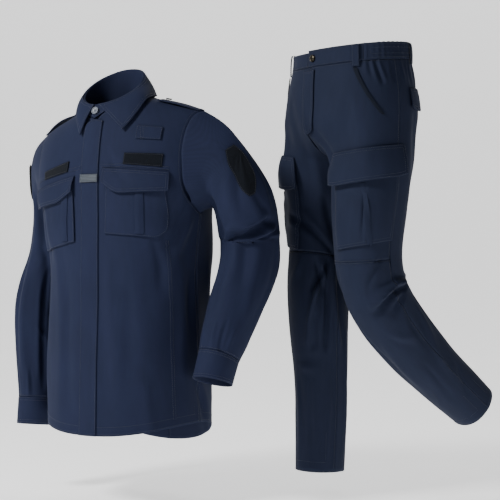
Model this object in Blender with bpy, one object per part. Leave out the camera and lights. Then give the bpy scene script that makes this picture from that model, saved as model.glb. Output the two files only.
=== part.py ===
"""Training uniform: a long-sleeved work shirt and cargo trousers, filled out as when worn.

Each garment is modelled in its own frame, facing -Y with the wearer's left at +X, and a
parent empty turns and places it. Cloth is a thin wall built on both sides of a grid of
points. The grid's rows run up from the hem (shirt) or down from the waist (trousers),
and its columns run from the centre front round to the centre back.
"""

import math

import bpy
import numpy as np

# Walls and gaps, in metres like everything below
CLOTH = 0.0015
DOUBLE = 0.0022
SEAM = 0.0003
LAID = 0.0009

# Where the two garments stand, measured from the middle of the pair
SHIRT_AXIS_X = -0.276
SHIRT_TURN = math.radians(-30)
TROUSER_AXIS_X = 0.231
TROUSER_TURN = math.radians(-55)

SIDES = {"left": 1, "right": -1}


def table(names, *rows):
    """A table with named columns; the first column is what it is read by."""
    return {name: np.array([row[k] for row in rows]) for k, name in enumerate(names.split())}


def read(values, name, at):
    """Smooth value of one column, read by the table's first column."""
    by = values[next(iter(values))]
    column = values[name]
    slope = np.gradient(column, by)
    at = np.clip(at, by[0], by[-1])
    k = np.clip(np.searchsorted(by, at) - 1, 0, len(by) - 2)
    step = by[k + 1] - by[k]
    f = (at - by[k]) / step
    rise = column[k + 1] - column[k]
    start = slope[k] * step
    end = slope[k + 1] * step
    return column[k] + f * start + f**2 * (3 * rise - 2 * start - end) + f**3 * (start + end - 2 * rise)


def unit(vectors):
    """The same vectors, each of length one."""
    length = np.linalg.norm(vectors, axis=-1, keepdims=True)
    return vectors / np.maximum(length, 1e-12)


def arch(angle, power):
    """Cosine and sine of a superellipse at an angle from 0 to 180 degrees."""
    c = np.cos(angle)
    s = np.sin(angle)
    return np.sign(c) * np.abs(c) ** (2 / power), np.sign(s) * np.abs(s) ** (2 / power)


def normals_of(points, outward):
    """Normals of a grid of points, turned to the outward side."""
    across = np.gradient(points, axis=1)
    along = np.gradient(points, axis=0)
    return unit(np.cross(across, along)) * outward


def closed_normals(points, outward):
    """Normals of a grid whose last column joins its first."""
    wide = np.concatenate([points[:, -1:], points, points[:, :1]], axis=1)
    return normals_of(wide, outward)[:, 1:-1]


# Finishes of the sub-parts

def finish(name, hex_colour, roughness, metallic=0.0):
    """A plain Principled finish from a display colour."""
    material = bpy.data.materials.new(name)
    material.use_nodes = True
    shader = material.node_tree.nodes["Principled BSDF"]
    display = [int(hex_colour[k : k + 2], 16) / 255 for k in (0, 2, 4)]
    linear = [c / 12.92 if c <= 0.04045 else ((c + 0.055) / 1.055) ** 2.4 for c in display]
    shader.inputs["Base Color"].default_value = (*linear, 1.0)
    shader.inputs["Roughness"].default_value = roughness
    shader.inputs["Metallic"].default_value = metallic
    return material


for leftover in list(bpy.data.objects):
    bpy.data.objects.remove(leftover)

uniform = bpy.data.collections.new("training_uniform")
bpy.context.scene.collection.children.link(uniform)

SHIRT_CLOTH = finish("shirt_cloth", "2c3349", 0.85)
TROUSER_CLOTH = finish("trouser_cloth", "262e41", 0.85)
LOOP_TAPE = finish("loop_tape", "161c28", 0.95)
TAB_WEBBING = finish("tab_webbing", "55606c", 0.8)
BUTTON = finish("button", "15171d", 0.35)
METAL = finish("button_metal", "8f8a80", 0.3, 1.0)


def put(name, mesh, material, place):
    """Adds a finished mesh to the uniform under its garment's empty."""
    mesh.materials.append(material)
    for face in mesh.polygons:
        face.use_smooth = True
    thing = bpy.data.objects.new(name, mesh)
    thing.parent = place
    uniform.objects.link(thing)
    return thing


def wall(name, outer, inner, material, place, closed=False):
    """One closed solid between two grids of points; outer's faces look outwards."""
    rows, cols = outer.shape[:2]
    layer = rows * cols

    def at(i, j):
        return i * cols + j % cols

    faces = []
    steps = cols if closed else cols - 1
    for i in range(rows - 1):
        for j in range(steps):
            quad = (at(i, j), at(i, j + 1), at(i + 1, j + 1), at(i + 1, j))
            faces.append(quad)
            faces.append(tuple(layer + k for k in reversed(quad)))
    edges = [(at(0, j + 1), at(0, j)) for j in range(steps)]
    edges += [(at(rows - 1, j), at(rows - 1, j + 1)) for j in range(steps)]
    if not closed:
        edges += [(at(i, 0), at(i + 1, 0)) for i in range(rows - 1)]
        edges += [(at(i + 1, cols - 1), at(i, cols - 1)) for i in range(rows - 1)]
    faces += [(a, b, layer + b, layer + a) for a, b in edges]
    mesh = bpy.data.meshes.new(name)
    mesh.from_pydata(np.concatenate([outer.reshape(-1, 3), inner.reshape(-1, 3)]).tolist(), [], faces)
    return put(name, mesh, material, place)


def cloth(name, points, normals, material, place, lift=0.0, thick=CLOTH, closed=False, flip=False):
    """A cloth wall centred on a grid of points, or lifted off it to lie on another."""
    base = points + normals * lift
    outer = base + normals * thick / 2
    inner = base - normals * thick / 2
    if flip:
        outer = outer[:, ::-1]
        inner = inner[:, ::-1]
    return wall(name, outer, inner, material, place, closed)


def pulled(points, edge):
    """The grid with one of its four edges pulled back by half a seam gap."""
    points = points.copy()
    here, beside = {
        "first": ((slice(None), 0), (slice(None), 1)),
        "last": ((slice(None), -1), (slice(None), -2)),
        "bottom": ((0,), (1,)),
        "top": ((-1,), (-2,)),
    }[edge]
    points[here] += unit(points[beside] - points[here]) * SEAM / 2
    return points


def empty(name, x, turn):
    """The empty that turns a garment and stands it in its place."""
    place = bpy.data.objects.new(name, None)
    place.location = (x - ORIGIN[0], -ORIGIN[1], -ORIGIN[2])
    place.rotation_euler = (0, 0, turn)
    uniform.objects.link(place)
    return place


# Shirt body. Heights are measured from the middle of the pair.
ARMPIT = 0.080
TORSO_ROUND = 2.3
HEM_FRONT = -0.409
HEM_SIDE = -0.384
HEM_BACK = -0.453
LOWER_ROWS = 12
TORSO_COLS = 9
CHEST_SPAN = 0.222
TORSO = table(
    "height half_width half_depth lean",
    (-0.460, 0.189, 0.166, 0.000),
    (-0.390, 0.189, 0.163, 0.000),
    (-0.250, 0.188, 0.156, -0.002),
    (-0.120, 0.186, 0.150, -0.004),
    (0.000, 0.190, 0.147, -0.006),
    (0.080, 0.200, 0.142, -0.009),
    (0.200, 0.204, 0.140, -0.014),
    (0.300, 0.204, 0.140, -0.018),
)
# Rows above the armpit run over the chest to the shoulder line at 90 degrees.
# inner is where a row starts beside the neck, outer where it ends at the armhole.
FRONT_RISE = table(
    "angle inner outer",
    (0.0, 0.000, 0.200),
    (11.0, 0.000, 0.200),
    (22.0, 0.000, 0.197),
    (34.0, 0.000, 0.196),
    (46.5, 0.000, 0.198),
    (58.0, 0.038, 0.202),
    (70.0, 0.060, 0.208),
    (80.0, 0.071, 0.215),
    (90.0, 0.077, 0.222),
)
BACK_RISE = table(
    "angle inner outer",
    (0.0, 0.000, 0.200),
    (11.0, 0.000, 0.200),
    (22.0, 0.000, 0.197),
    (34.0, 0.000, 0.196),
    (46.5, 0.000, 0.198),
    (58.0, 0.000, 0.202),
    (70.0, 0.000, 0.208),
    (80.0, 0.050, 0.215),
    (90.0, 0.077, 0.222),
)
# Height of the shoulder line at its middle, at the neck and at the sleeve
RIDGE = {
    "left": table("across height", (0.0, 0.374), (0.077, 0.351), (0.150, 0.328), (0.222, 0.309)),
    "right": table("across height", (0.0, 0.374), (0.077, 0.324), (0.150, 0.295), (0.222, 0.266)),
}
RIDGE_Y = -0.030
RIDGE_FALL_BACK = 0.10
ORIGIN = (-0.307, -0.017, 0.360)


def torso_panel(side, facing):
    """Grid of one front or back, hem to shoulder line and centre to side seam."""
    sign = SIDES[side]
    front = facing == "front"
    ahead = -1 if front else 1
    angle = np.linspace(0, math.pi / 2, TORSO_COLS + 1)
    depth, width = arch(angle, TORSO_ROUND)
    ease = (1 - np.cos(2 * angle)) / 2
    hem = (HEM_FRONT if front else HEM_BACK) * (1 - ease) + HEM_SIDE * ease
    rows = []
    for f in np.linspace(0, 1, LOWER_ROWS + 1):
        z = hem + (ARMPIT - hem) * f
        x = read(TORSO, "lean", z) + sign * read(TORSO, "half_width", z) * width
        y = ahead * read(TORSO, "half_depth", z) * depth
        rows.append(np.stack([x, y, z], axis=-1))
    rise = FRONT_RISE if front else BACK_RISE
    chest_depth = read(TORSO, "half_depth", ARMPIT)
    for angle_up, start, end in zip(rise["angle"][1:], rise["inner"][1:], rise["outer"][1:]):
        up = math.radians(angle_up)
        across = start + (end - start) * width
        share = np.clip(across / CHEST_SPAN, 0, 1)
        chest = ahead * chest_depth * (1 - share**TORSO_ROUND) ** (1 / TORSO_ROUND)
        ridge_y = RIDGE_Y + RIDGE_FALL_BACK * across
        ridge_z = read(RIDGE[side], "height", across)
        y = ridge_y + (chest - ridge_y) * max(math.cos(up), 0.0) ** 0.8
        z = ARMPIT + (ridge_z - ARMPIT) * math.sin(up)
        x = read(TORSO, "lean", z) + sign * across
        rows.append(np.stack([x, y, z], axis=-1))
    return np.array(rows)


def crease(points, normals, rows):
    """Moves points along their normals by the troughs and ridges of a table.

    Each row is a line from one place to another, given by its angle round the body and
    its height, with a width, and a depth that is positive outwards.
    """
    around = np.degrees(np.arctan2(points[..., 0], -points[..., 1]))
    place = np.stack([around * GIRTH_PER_DEGREE, points[..., 2]], axis=-1)
    shift = np.zeros(points.shape[:2])
    for k in range(len(rows["from_turn"])):
        start = np.array([rows["from_turn"][k] * GIRTH_PER_DEGREE, rows["from_height"][k]])
        end = np.array([rows["to_turn"][k] * GIRTH_PER_DEGREE, rows["to_height"][k]])
        line = end - start
        length = np.linalg.norm(line)
        along = np.clip(((place - start) @ line) / length**2, 0, 1)
        away = np.linalg.norm(place - start - along[..., None] * line, axis=-1)
        fade = np.sin(math.pi * np.clip(along * 0.9 + 0.05, 0, 1)) ** 0.7
        shift += rows["depth"][k] * fade * np.exp(-((away / rows["width"][k]) ** 2))
    return points + normals * shift[..., None]


GIRTH_PER_DEGREE = 0.17 * math.pi / 180
# Largest folds of the shirt body; turn 0 is the centre front and 90 the wearer's left side
TORSO_FOLDS = table(
    "from_turn from_height to_turn to_height width depth",
    (88, 0.06, 48, -0.10, 0.022, -0.007),
    (100, 0.03, 62, -0.22, 0.024, -0.006),
    (74, 0.05, 40, 0.02, 0.020, 0.005),
    (60, -0.12, 72, -0.36, 0.026, -0.006),
    (32, -0.06, 26, -0.38, 0.026, 0.005),
    (-30, -0.05, -24, -0.38, 0.026, -0.005),
    (-82, 0.05, -52, -0.12, 0.024, -0.006),
    (-62, -0.14, -66, -0.38, 0.026, 0.005),
    (120, 0.05, 150, -0.14, 0.026, -0.006),
    (-118, 0.05, -150, -0.16, 0.026, -0.006),
    (116, 0.09, 112, -0.09, 0.034, 0.015),
    (165, -0.05, 160, -0.40, 0.030, 0.006),
    (-160, -0.02, -168, -0.42, 0.030, -0.005),
)

torso = {}
torso_normals = {}
for side, sign in SIDES.items():
    for facing, ahead in (("front", -1), ("back", 1)):
        grid = torso_panel(side, facing)
        key = side, facing
        torso_normals[key] = normals_of(grid, -sign * ahead)
        torso[key] = grid


def share(first, first_cut, second, second_cut):
    """Gives two normal grids the same normals along a common seam."""
    both = unit(first[first_cut] + second[second_cut])
    first[first_cut] = both
    second[second_cut] = both


def share_torso_normals():
    """Same normals on both sides of every seam of the shirt body."""
    lower = slice(0, LOWER_ROWS + 1)
    for side in SIDES:
        front = torso_normals[side, "front"]
        back = torso_normals[side, "back"]
        share(front, (lower, -1), back, (lower, -1))
        share(front, (-1,), back, (-1,))
    for facing in ("front", "back"):
        share(torso_normals["left", facing], (slice(None), 0), torso_normals["right", facing], (slice(None), 0))


share_torso_normals()
for key in torso:
    torso[key] = crease(torso[key], torso_normals[key], TORSO_FOLDS)
    sign = SIDES[key[0]]
    torso_normals[key] = normals_of(torso[key], sign if key[1] == "front" else -sign)
share_torso_normals()

shirt_place = empty("shirt_place", SHIRT_AXIS_X, SHIRT_TURN)
for (side, facing), grid in torso.items():
    whole = grid
    for edge in ("first", "last", "top"):
        whole = pulled(whole, edge)
    turned = (side == "right") == (facing == "front")
    cloth(f"shirt_{facing}_{side}", whole, torso_normals[side, facing], SHIRT_CLOTH, shirt_place, flip=turned)

# Sleeves. A row is a section: its centre, and its half widths outwards and forwards.
CAP_ROWS = 5
SLEEVE_ROWS = 9
CAP_REACH = 0.092
SLEEVES = {
    "left": table(
        "along x y z out ahead",
        (0.00, 0.280, 0.058, 0.080, 0.064, 0.078),
        (0.16, 0.274, 0.080, 0.030, 0.068, 0.075),
        (0.32, 0.277, 0.068, -0.035, 0.066, 0.071),
        (0.60, 0.269, 0.025, -0.122, 0.061, 0.065),
        (0.84, 0.258, -0.006, -0.190, 0.054, 0.058),
        (1.00, 0.254, -0.024, -0.232, 0.045, 0.049),
    ),
    "right": table(
        "along x y z out ahead",
        (0.00, -0.256, 0.056, 0.070, 0.045, 0.066),
        (0.22, -0.260, 0.050, -0.020, 0.051, 0.066),
        (0.45, -0.273, 0.014, -0.120, 0.053, 0.064),
        (0.75, -0.265, -0.004, -0.240, 0.048, 0.056),
        (0.90, -0.256, -0.016, -0.305, 0.044, 0.050),
        (1.00, -0.254, -0.022, -0.350, 0.041, 0.046),
    ),
}
CUFFS = {
    "left": table(
        "along x y z out ahead",
        (0.0, 0.2495, -0.0235, -0.232, 0.043, 0.047),
        (1.0, 0.2480, -0.0410, -0.288, 0.043, 0.049),
    ),
    "right": table(
        "along x y z out ahead",
        (0.0, -0.2540, -0.0220, -0.350, 0.040, 0.045),
        (1.0, -0.2510, -0.0320, -0.412, 0.040, 0.046),
    ),
}


def centre_of(values, along):
    """Centre of a tube's section."""
    return np.array([read(values, name, along) for name in ("x", "y", "z")])


def section(values, along, sign, count):
    """Ring of points round a tube, from its outer side to its front, inner side and back."""
    step = 0.02
    before = centre_of(values, max(along - step, 0.0))
    after = centre_of(values, min(along + step, 1.0))
    down = unit(after - before)
    outward = np.array([sign, 0.0, 0.0])
    outward = unit(outward - down * (outward @ down))
    ahead = unit(np.cross(down, outward)) * sign
    turn = np.linspace(0, 2 * math.pi, count, endpoint=False)[:, None]
    reach = read(values, "out", along) * np.cos(turn) * outward
    reach = reach + read(values, "ahead", along) * np.sin(turn) * ahead
    return centre_of(values, along) + reach, down


def armhole(side):
    """Loop of the armhole from the shoulder down the front and up the back, with normals."""
    loops = []
    for grids in (torso, torso_normals):
        front = grids[side, "front"][LOWER_ROWS:, -1]
        back = grids[side, "back"][LOWER_ROWS:, -1]
        loops.append(np.concatenate([front[::-1], back[1:-1]]))
    loop, normals = loops
    along = unit(np.roll(loop, -1, axis=0) - np.roll(loop, 1, axis=0))
    away = unit(np.cross(normals, along)) * SIDES[side]
    return loop + away * SEAM * 1.5, unit(normals), away


def sleeve_grid(side):
    """Rings of a sleeve from the armhole to the cuff."""
    sign = SIDES[side]
    hole, hole_normals, away = armhole(side)
    count = len(hole)
    first, down = section(SLEEVES[side], 0.0, sign, count)
    leave = unit(np.array([sign * 1.0, 0.0, -0.22]))
    span = np.linalg.norm(first - hole, axis=1, keepdims=True)
    near = hole + unit(leave + away) * np.minimum(CAP_REACH, span * 0.45)
    far = first - down * span * 0.30
    rings = []
    for f in np.linspace(0, 1, CAP_ROWS, endpoint=False):
        g = 1 - f
        rings.append(g**3 * hole + 3 * g**2 * f * near + 3 * g * f**2 * far + f**3 * first)
    for f in np.linspace(0, 1, SLEEVE_ROWS + 1):
        rings.append(section(SLEEVES[side], f, sign, count)[0])
    grid = np.array(rings)
    normals = closed_normals(grid, sign)
    normals[0] = hole_normals
    return grid, normals


def cuff_grid(side, seam, seam_normals):
    """Rings of a cuff from the sleeve's last ring down to its edge."""
    end, down = section(CUFFS[side], 1.0, SIDES[side], len(seam))
    start = seam + down * SEAM
    grid = np.array([start, (start + end) / 2, end])
    normals = closed_normals(grid, SIDES[side])
    normals[0] = seam_normals
    return grid, normals


sleeves = {}
for side in SIDES:
    grid, normals = sleeve_grid(side)
    sleeves[side] = grid, normals
    flip = side == "right"
    cloth(f"sleeve_{side}", grid, normals, SHIRT_CLOTH, shirt_place, closed=True, flip=flip)
    grid, normals = cuff_grid(side, grid[-1], normals[-1])
    cloth(f"cuff_{side}", grid, normals, SHIRT_CLOTH, shirt_place, thick=DOUBLE, closed=True, flip=flip)

# Trousers. Each half runs from the centre front round its side to the centre back, and
# below the crotch from the inseam round the leg to the inseam.
HIP_ROUND = 2.2
HIP_LINE = 0.290
BAND_FRONT = 0.412
BAND_BACK = 0.434
BAND_HIGH = 0.038
HIP_ROWS = 5
CROTCH_ROWS = 4
LEG_COLS = 8
LEG_STATIONS = (0.06, 0.12, 0.19, 0.25, 0.315, 0.40, 0.48, 0.57, 0.67, 0.78, 0.89, 1.0)
KNEE_ROW = HIP_ROWS + CROTCH_ROWS + 5
HIPS = table(
    "height half_width half_depth shift",
    (0.280, 0.173, 0.131, -0.002),
    (0.330, 0.170, 0.128, 0.001),
    (0.380, 0.162, 0.121, 0.002),
    (0.415, 0.154, 0.114, 0.002),
    (0.480, 0.150, 0.110, 0.000),
)
LEGS = {
    "right": table(
        "along x y z aside ahead",
        (0.00, -0.0894, -0.008, 0.200, 0.0885, 0.100),
        (0.12, -0.0900, -0.002, 0.120, 0.0835, 0.087),
        (0.25, -0.0905, -0.008, 0.030, 0.0760, 0.078),
        (0.38, -0.0900, -0.022, -0.060, 0.0705, 0.074),
        (0.52, -0.0910, -0.021, -0.160, 0.0670, 0.070),
        (0.72, -0.0920, -0.013, -0.300, 0.0610, 0.064),
        (0.87, -0.0920, -0.014, -0.420, 0.0560, 0.060),
        (1.00, -0.0920, -0.017, -0.515, 0.0540, 0.058),
    ),
    "left": table(
        "along x y z aside ahead",
        (0.00, 0.0894, -0.010, 0.200, 0.0885, 0.100),
        (0.12, 0.0900, -0.014, 0.120, 0.0845, 0.086),
        (0.22, 0.0910, -0.022, 0.050, 0.0780, 0.079),
        (0.30, 0.0910, -0.024, -0.010, 0.0730, 0.075),
        (0.38, 0.0910, -0.015, -0.065, 0.0710, 0.075),
        (0.47, 0.0910, 0.011, -0.116, 0.0695, 0.074),
        (0.58, 0.0910, 0.059, -0.172, 0.0680, 0.072),
        (0.72, 0.0910, 0.138, -0.247, 0.0650, 0.067),
        (0.87, 0.0910, 0.227, -0.315, 0.0590, 0.061),
        (1.00, 0.0910, 0.297, -0.368, 0.0555, 0.057),
    ),
}


def leg_ring(side, along):
    """Ring round a leg from the inseam to the front, the side, the back and the inseam."""
    sign = SIDES[side]
    values = LEGS[side]
    step = 0.02
    down = unit(centre_of(values, min(along + step, 1.0)) - centre_of(values, max(along - step, 0.0)))
    if along == 0:
        down = np.array([0.0, 0.0, -1.0])
    outward = np.array([sign, 0.0, 0.0])
    ahead = unit(np.cross(down, outward)) * sign
    turn = np.linspace(0, 2 * math.pi, 2 * LEG_COLS + 1)
    c, s = arch(turn, HIP_ROUND)
    reach = -read(values, "aside", along) * c[:, None] * outward
    return centre_of(values, along) + reach + read(values, "ahead", along) * s[:, None] * ahead


def hip_ring(side, height):
    """Half ring round the hips from the centre front to the centre back."""
    turn = np.linspace(0, math.pi, 2 * LEG_COLS + 1)
    c, s = arch(turn, HIP_ROUND)
    z = np.broadcast_to(height, c.shape)
    x = SIDES[side] * read(HIPS, "half_width", z) * s
    y = read(HIPS, "shift", z) - read(HIPS, "half_depth", z) * c
    return np.stack([x, y, z], axis=-1)


def band_line(turn):
    """Height of the waist seam at a turn from the centre front."""
    return BAND_FRONT + (BAND_BACK - BAND_FRONT) * (1 - np.cos(turn)) / 2


def trouser_grid(side):
    """Rows of one trouser half from the waist seam to the hem."""
    turn = np.linspace(0, math.pi, 2 * LEG_COLS + 1)
    top = band_line(turn) - SEAM
    rows = [hip_ring(side, top + (HIP_LINE - top) * f) for f in np.linspace(0, 1, HIP_ROWS + 1)]
    hips = rows[-1]
    thigh = leg_ring(side, 0.0)
    middle = LEG_COLS / 2
    spot = np.arange(2 * LEG_COLS + 1)
    near = np.clip(1 - np.minimum(spot, 2 * LEG_COLS - spot) / middle, 0, 1)
    for f in np.linspace(0, 1, CROTCH_ROWS + 1)[1:]:
        level = f + near * (1 - math.cos(f * math.pi / 2) - f)
        fall = f + near * (math.sin(f * math.pi / 2) - f)
        weights = np.stack([level, level, fall], axis=-1)
        rows.append(hips * (1 - weights) + thigh * weights)
    for f in LEG_STATIONS:
        rows.append(leg_ring(side, f))
    return np.array(rows)


trouser_place = empty("trouser_place", TROUSER_AXIS_X, TROUSER_TURN)
trousers = {}
for side, sign in SIDES.items():
    grid = trouser_grid(side)
    normals = normals_of(grid, -sign)
    legs = slice(HIP_ROWS + CROTCH_ROWS, None)
    joint = unit(normals[legs, 0] + normals[legs, -1])
    normals[legs, 0] = joint
    normals[legs, -1] = joint
    for edge in (0, -1):
        normals[: HIP_ROWS + CROTCH_ROWS, edge] *= (0, 1, 1)
        normals[HIP_ROWS + CROTCH_ROWS, edge] = (-0.7 * sign, 0, -0.7)
    normals = unit(normals)
    trousers[side] = grid, normals
    front = slice(0, LEG_COLS + 1)
    panels = {
        "thigh_front": (slice(0, KNEE_ROW + 1), front, "bottom"),
        "shin_front": (slice(KNEE_ROW, None), front, "top"),
        "leg_back": (slice(None), slice(LEG_COLS, None), None),
    }
    for name, (rows, cols, knee_edge) in panels.items():
        panel = pulled(pulled(grid[rows, cols], "first"), "last")[::-1]
        if knee_edge:
            panel = pulled(panel, knee_edge)
        cloth(f"{name}_{side}", panel, normals[rows, cols][::-1], TROUSER_CLOTH, trouser_place,
              flip=side == "right")


# What lies on a panel is made from the panel's own points, moved out.

def across_at(grid, normals, x, z):
    """Point and normal of a panel at a place across it and a height."""
    points = []
    sides = []
    for line, facing in zip(grid, normals):
        order = np.argsort(line[:, 0])
        at = np.clip(x, line[order[0], 0], line[order[-1], 0])
        points.append([np.interp(at, line[order, 0], line[order, k]) for k in range(3)])
        sides.append([np.interp(at, line[order, 0], facing[order, k]) for k in range(3)])
    points = np.array(points)
    sides = np.array(sides)
    rows = np.arange(len(points))
    climb = np.sign(points[-1, 2] - points[0, 2])
    level = np.interp(z * climb, points[:, 2] * climb, rows)
    point = [np.interp(level, rows, points[:, k]) for k in range(3)]
    side = [np.interp(level, rows, sides[:, k]) for k in range(3)]
    return np.array(point), unit(np.array(side))


def spot(key, x, z):
    """Point and normal of a shirt panel at a place across it and a height."""
    return across_at(torso[key], torso_normals[key], x, z)


def chest(x, z):
    """Point and normal on the front of the shirt, whichever side x falls on."""
    middle = read(TORSO, "lean", z)
    return spot(("left" if x >= middle else "right", "front"), x, z)


def level(layer, thick):
    """Lift of a wall that lies on a panel, over as many layers as are under it."""
    return CLOTH / 2 + LAID + layer * (CLOTH + LAID) + thick / 2


def pocket_rise(rows, cols):
    """How a pocket bag stands off its panel: from its sides and bottom, flat under the flap."""
    up = np.clip(np.linspace(0, 1 / 0.72, rows), 0, 1)
    return np.outer(np.sin(math.pi * up), np.sin(np.linspace(0, math.pi, cols))) ** 0.6


def flap_rise(rows, cols):
    """How a flap stands off: sewn along its top, and over the pocket at its lower edge."""
    climb = np.interp(np.linspace(0, 1, rows), (0.0, 0.35, 0.7, 1.0), (1.0, 0.85, 0.45, 0.0))
    return np.outer(climb, np.ones(cols))


def laid(name, places, find, material, place, layer=0, thick=CLOTH, puff=0.0, rise=None, flip=False, clear=0.0):
    """A flat piece laid on a panel: places is a grid of pairs that find turns to points."""
    found = [[find(*pair) for pair in line] for line in places]
    points = np.array([[point for point, side in line] for line in found])
    normals = np.array([[side for point, side in line] for line in found])
    if rise:
        points = points + normals * puff * rise(*places.shape[:2])[..., None]
    lift = level(layer, thick) + clear
    return cloth(name, points, normals, material, place, lift=lift, thick=thick, flip=flip)


def between(bottom, top, rows):
    """Grid of pairs between a bottom and a top line of pairs."""
    share_up = np.linspace(0, 1, rows)[:, None, None]
    return np.array(bottom) * (1 - share_up) + np.array(top) * share_up


def resampled(line, cols):
    """A line of pairs read at even steps of its first number."""
    line = np.array(line)
    at = np.linspace(line[0, 0], line[-1, 0], cols)
    return np.stack([at, np.interp(at, line[:, 0], line[:, 1])], axis=-1)


# Front placket with its cross tab
PLACKET_HALF = 0.0235
TAB_LOW = 0.1500
TAB_HIGH = 0.1675
NECK_ROW = LOWER_ROWS + 4


def placket_grid():
    """Points and normals of the placket strip, hem to collar."""
    points = []
    sides = []
    for row in range(NECK_ROW + 1):
        middle = torso["left", "front"][row, 0]
        line = [spot_in_row(row, middle[0] + PLACKET_HALF * f) for f in (-1, -0.5, 0, 0.5, 1)]
        points.append([point for point, side in line])
        sides.append([side for point, side in line])
    return np.array(points), np.array(sides)


def spot_in_row(row, x):
    """Point and normal of the shirt's front in one row of its grid."""
    middle = torso["left", "front"][row, 0, 0]
    key = ("left" if x >= middle else "right"), "front"
    line = torso[key][row]
    facing = torso_normals[key][row]
    order = np.argsort(line[:, 0])
    point = [np.interp(x, line[order, 0], line[order, k]) for k in range(3)]
    side = [np.interp(x, line[order, 0], facing[order, k]) for k in range(3)]
    return np.array(point), unit(np.array(side))


points, normals = placket_grid()
cloth("placket", points, normals, SHIRT_CLOTH, shirt_place, lift=level(0, CLOTH), thick=CLOTH)
tab_middle = read(TORSO, "lean", TAB_HIGH)
bottom = [(tab_middle + PLACKET_HALF * f, TAB_LOW) for f in (-1, -0.5, 0, 0.5, 1)]
top = [(x, TAB_HIGH) for x, z in bottom]
laid("placket_tab", between(bottom, top, 3), chest, TAB_WEBBING, shirt_place, layer=1)

# Chest pieces: corners as (across, height), bottom line then top line
CHEST_STRIPS = {
    "left": (((0.0704, 0.1888), (0.1523, 0.1813)), ((0.0712, 0.2132), (0.1531, 0.2100))),
    "right": (((-0.1575, 0.1601), (-0.0768, 0.1751)), ((-0.1600, 0.1776), (-0.0750, 0.1989))),
}
BADGE_HOLDER = (((0.0905, 0.2450), (0.1438, 0.2415)), ((0.0890, 0.2744), (0.1437, 0.2697)))
CHEST_FLAPS = {
    "left": (
        ((0.0230, 0.1480), (0.0330, 0.1430), (0.0566, 0.1244), (0.1668, 0.1287)),
        ((0.0230, 0.1810), (0.1668, 0.1704)),
    ),
    "right": (
        ((-0.1850, 0.0950), (-0.0966, 0.1058), (-0.0553, 0.1295)),
        ((-0.1850, 0.1385), (-0.0553, 0.1654)),
    ),
}
CHEST_POCKETS = {
    "left": (
        ((0.0330, 0.0360), (0.1230, 0.0292), (0.1446, 0.0262), (0.1620, 0.0420)),
        ((0.0330, 0.1620), (0.1620, 0.1540)),
    ),
    "right": (
        ((-0.1780, 0.0060), (-0.1567, -0.0041), (-0.0480, 0.0187)),
        ((-0.1780, 0.1250), (-0.0580, 0.1500)),
    ),
}
for side in SIDES:
    bottom, top = (resampled(line, 5) for line in CHEST_STRIPS[side])
    laid(f"name_strip_{side}", between(bottom, top, 3), chest, LOOP_TAPE, shirt_place)
    bottom, top = (resampled(line, 14) for line in CHEST_POCKETS[side])
    laid(f"chest_pocket_{side}", between(bottom, top, 8), chest, SHIRT_CLOTH, shirt_place,
         puff=0.005, rise=pocket_rise, clear=0.0008)
    bottom, top = (resampled(line, 12) for line in CHEST_FLAPS[side])
    laid(f"chest_flap_{side}", between(bottom, top, 4), chest, SHIRT_CLOTH, shirt_place,
         thick=DOUBLE, puff=0.0075, rise=flap_rise)
bottom, top = (resampled(line, 4) for line in BADGE_HOLDER)
laid("badge_holder", between(bottom, top, 3), chest, SHIRT_CLOTH, shirt_place)


# Collar: a stand on the neck seam, and a leaf folded down from the stand's top
FOLD_X = -0.020
FOLD_Y = -0.034
FOLD_HALF_WIDTH = 0.069
FOLD_HALF_DEPTH = 0.066
FOLD_FRONT_Z = 0.327
FOLD_BACK_Z = 0.421
RIDGE_ROW = LOWER_ROWS + 8


def neck_loop():
    """Neck edge as turns round the fold's centre and points, from the centre front leftwards."""
    loops = []
    for side in ("left", "right"):
        front = torso[side, "front"][NECK_ROW:, 0]
        back = torso[side, "back"][RIDGE_ROW - 2 : -1, 0]
        loops.append(np.concatenate([front, back[::-1]]))
    loop = np.concatenate([loops[0][:-1], loops[1][::-1]])
    turns = np.arctan2(loop[:, 0] - FOLD_X, FOLD_Y - loop[:, 1])
    turns = np.where(turns < -0.3, turns + 2 * math.pi, turns)
    turns[0] = 0.0
    turns[-1] = 2 * math.pi
    return turns, loop


def fold_ring(turns):
    """Points of the collar's fold line at turns from the centre front."""
    x = FOLD_X + FOLD_HALF_WIDTH * np.sin(turns)
    y = FOLD_Y - FOLD_HALF_DEPTH * np.cos(turns)
    z = FOLD_FRONT_Z + (FOLD_BACK_Z - FOLD_FRONT_Z) * (1 - np.cos(turns)) / 2
    return np.stack([x, y, z], axis=-1)


NECK_COLS = 25
neck_turns, neck = neck_loop()
turns = np.linspace(0.0, 2 * math.pi, NECK_COLS)
fold = fold_ring(turns)
radial = unit((fold - (FOLD_X, FOLD_Y, 0)) * (1, 1, 0))
base = np.stack([np.interp(turns, neck_turns, neck[:, k]) for k in range(3)], axis=-1)
base = base + (0, 0, CLOTH / 2 + DOUBLE / 2)
stand = pulled(pulled(np.array([base, base * 0.5 + fold * 0.5, fold]), "first"), "last")
cloth("collar_stand", stand, np.array([radial] * 3), SHIRT_CLOTH, shirt_place, thick=DOUBLE)



def row_spot(side, facing, down, x):
    """Point and normal of a shirt panel, some grid rows below the shoulder line."""
    grid = torso[side, facing]
    normals = torso_normals[side, facing]
    row = len(grid) - 1 - down
    low = min(int(row), len(grid) - 2)
    part = row - low
    found = []
    for values in (grid, normals):
        lines = []
        for i in (low, low + 1):
            order = np.argsort(grid[i][:, 0])
            lines.append([np.interp(x, grid[i][order, 0], values[i][order, k]) for k in range(3)])
        found.append(np.array(lines[0]) * (1 - part) + np.array(lines[1]) * part)
    return found[0], unit(found[1])


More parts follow.
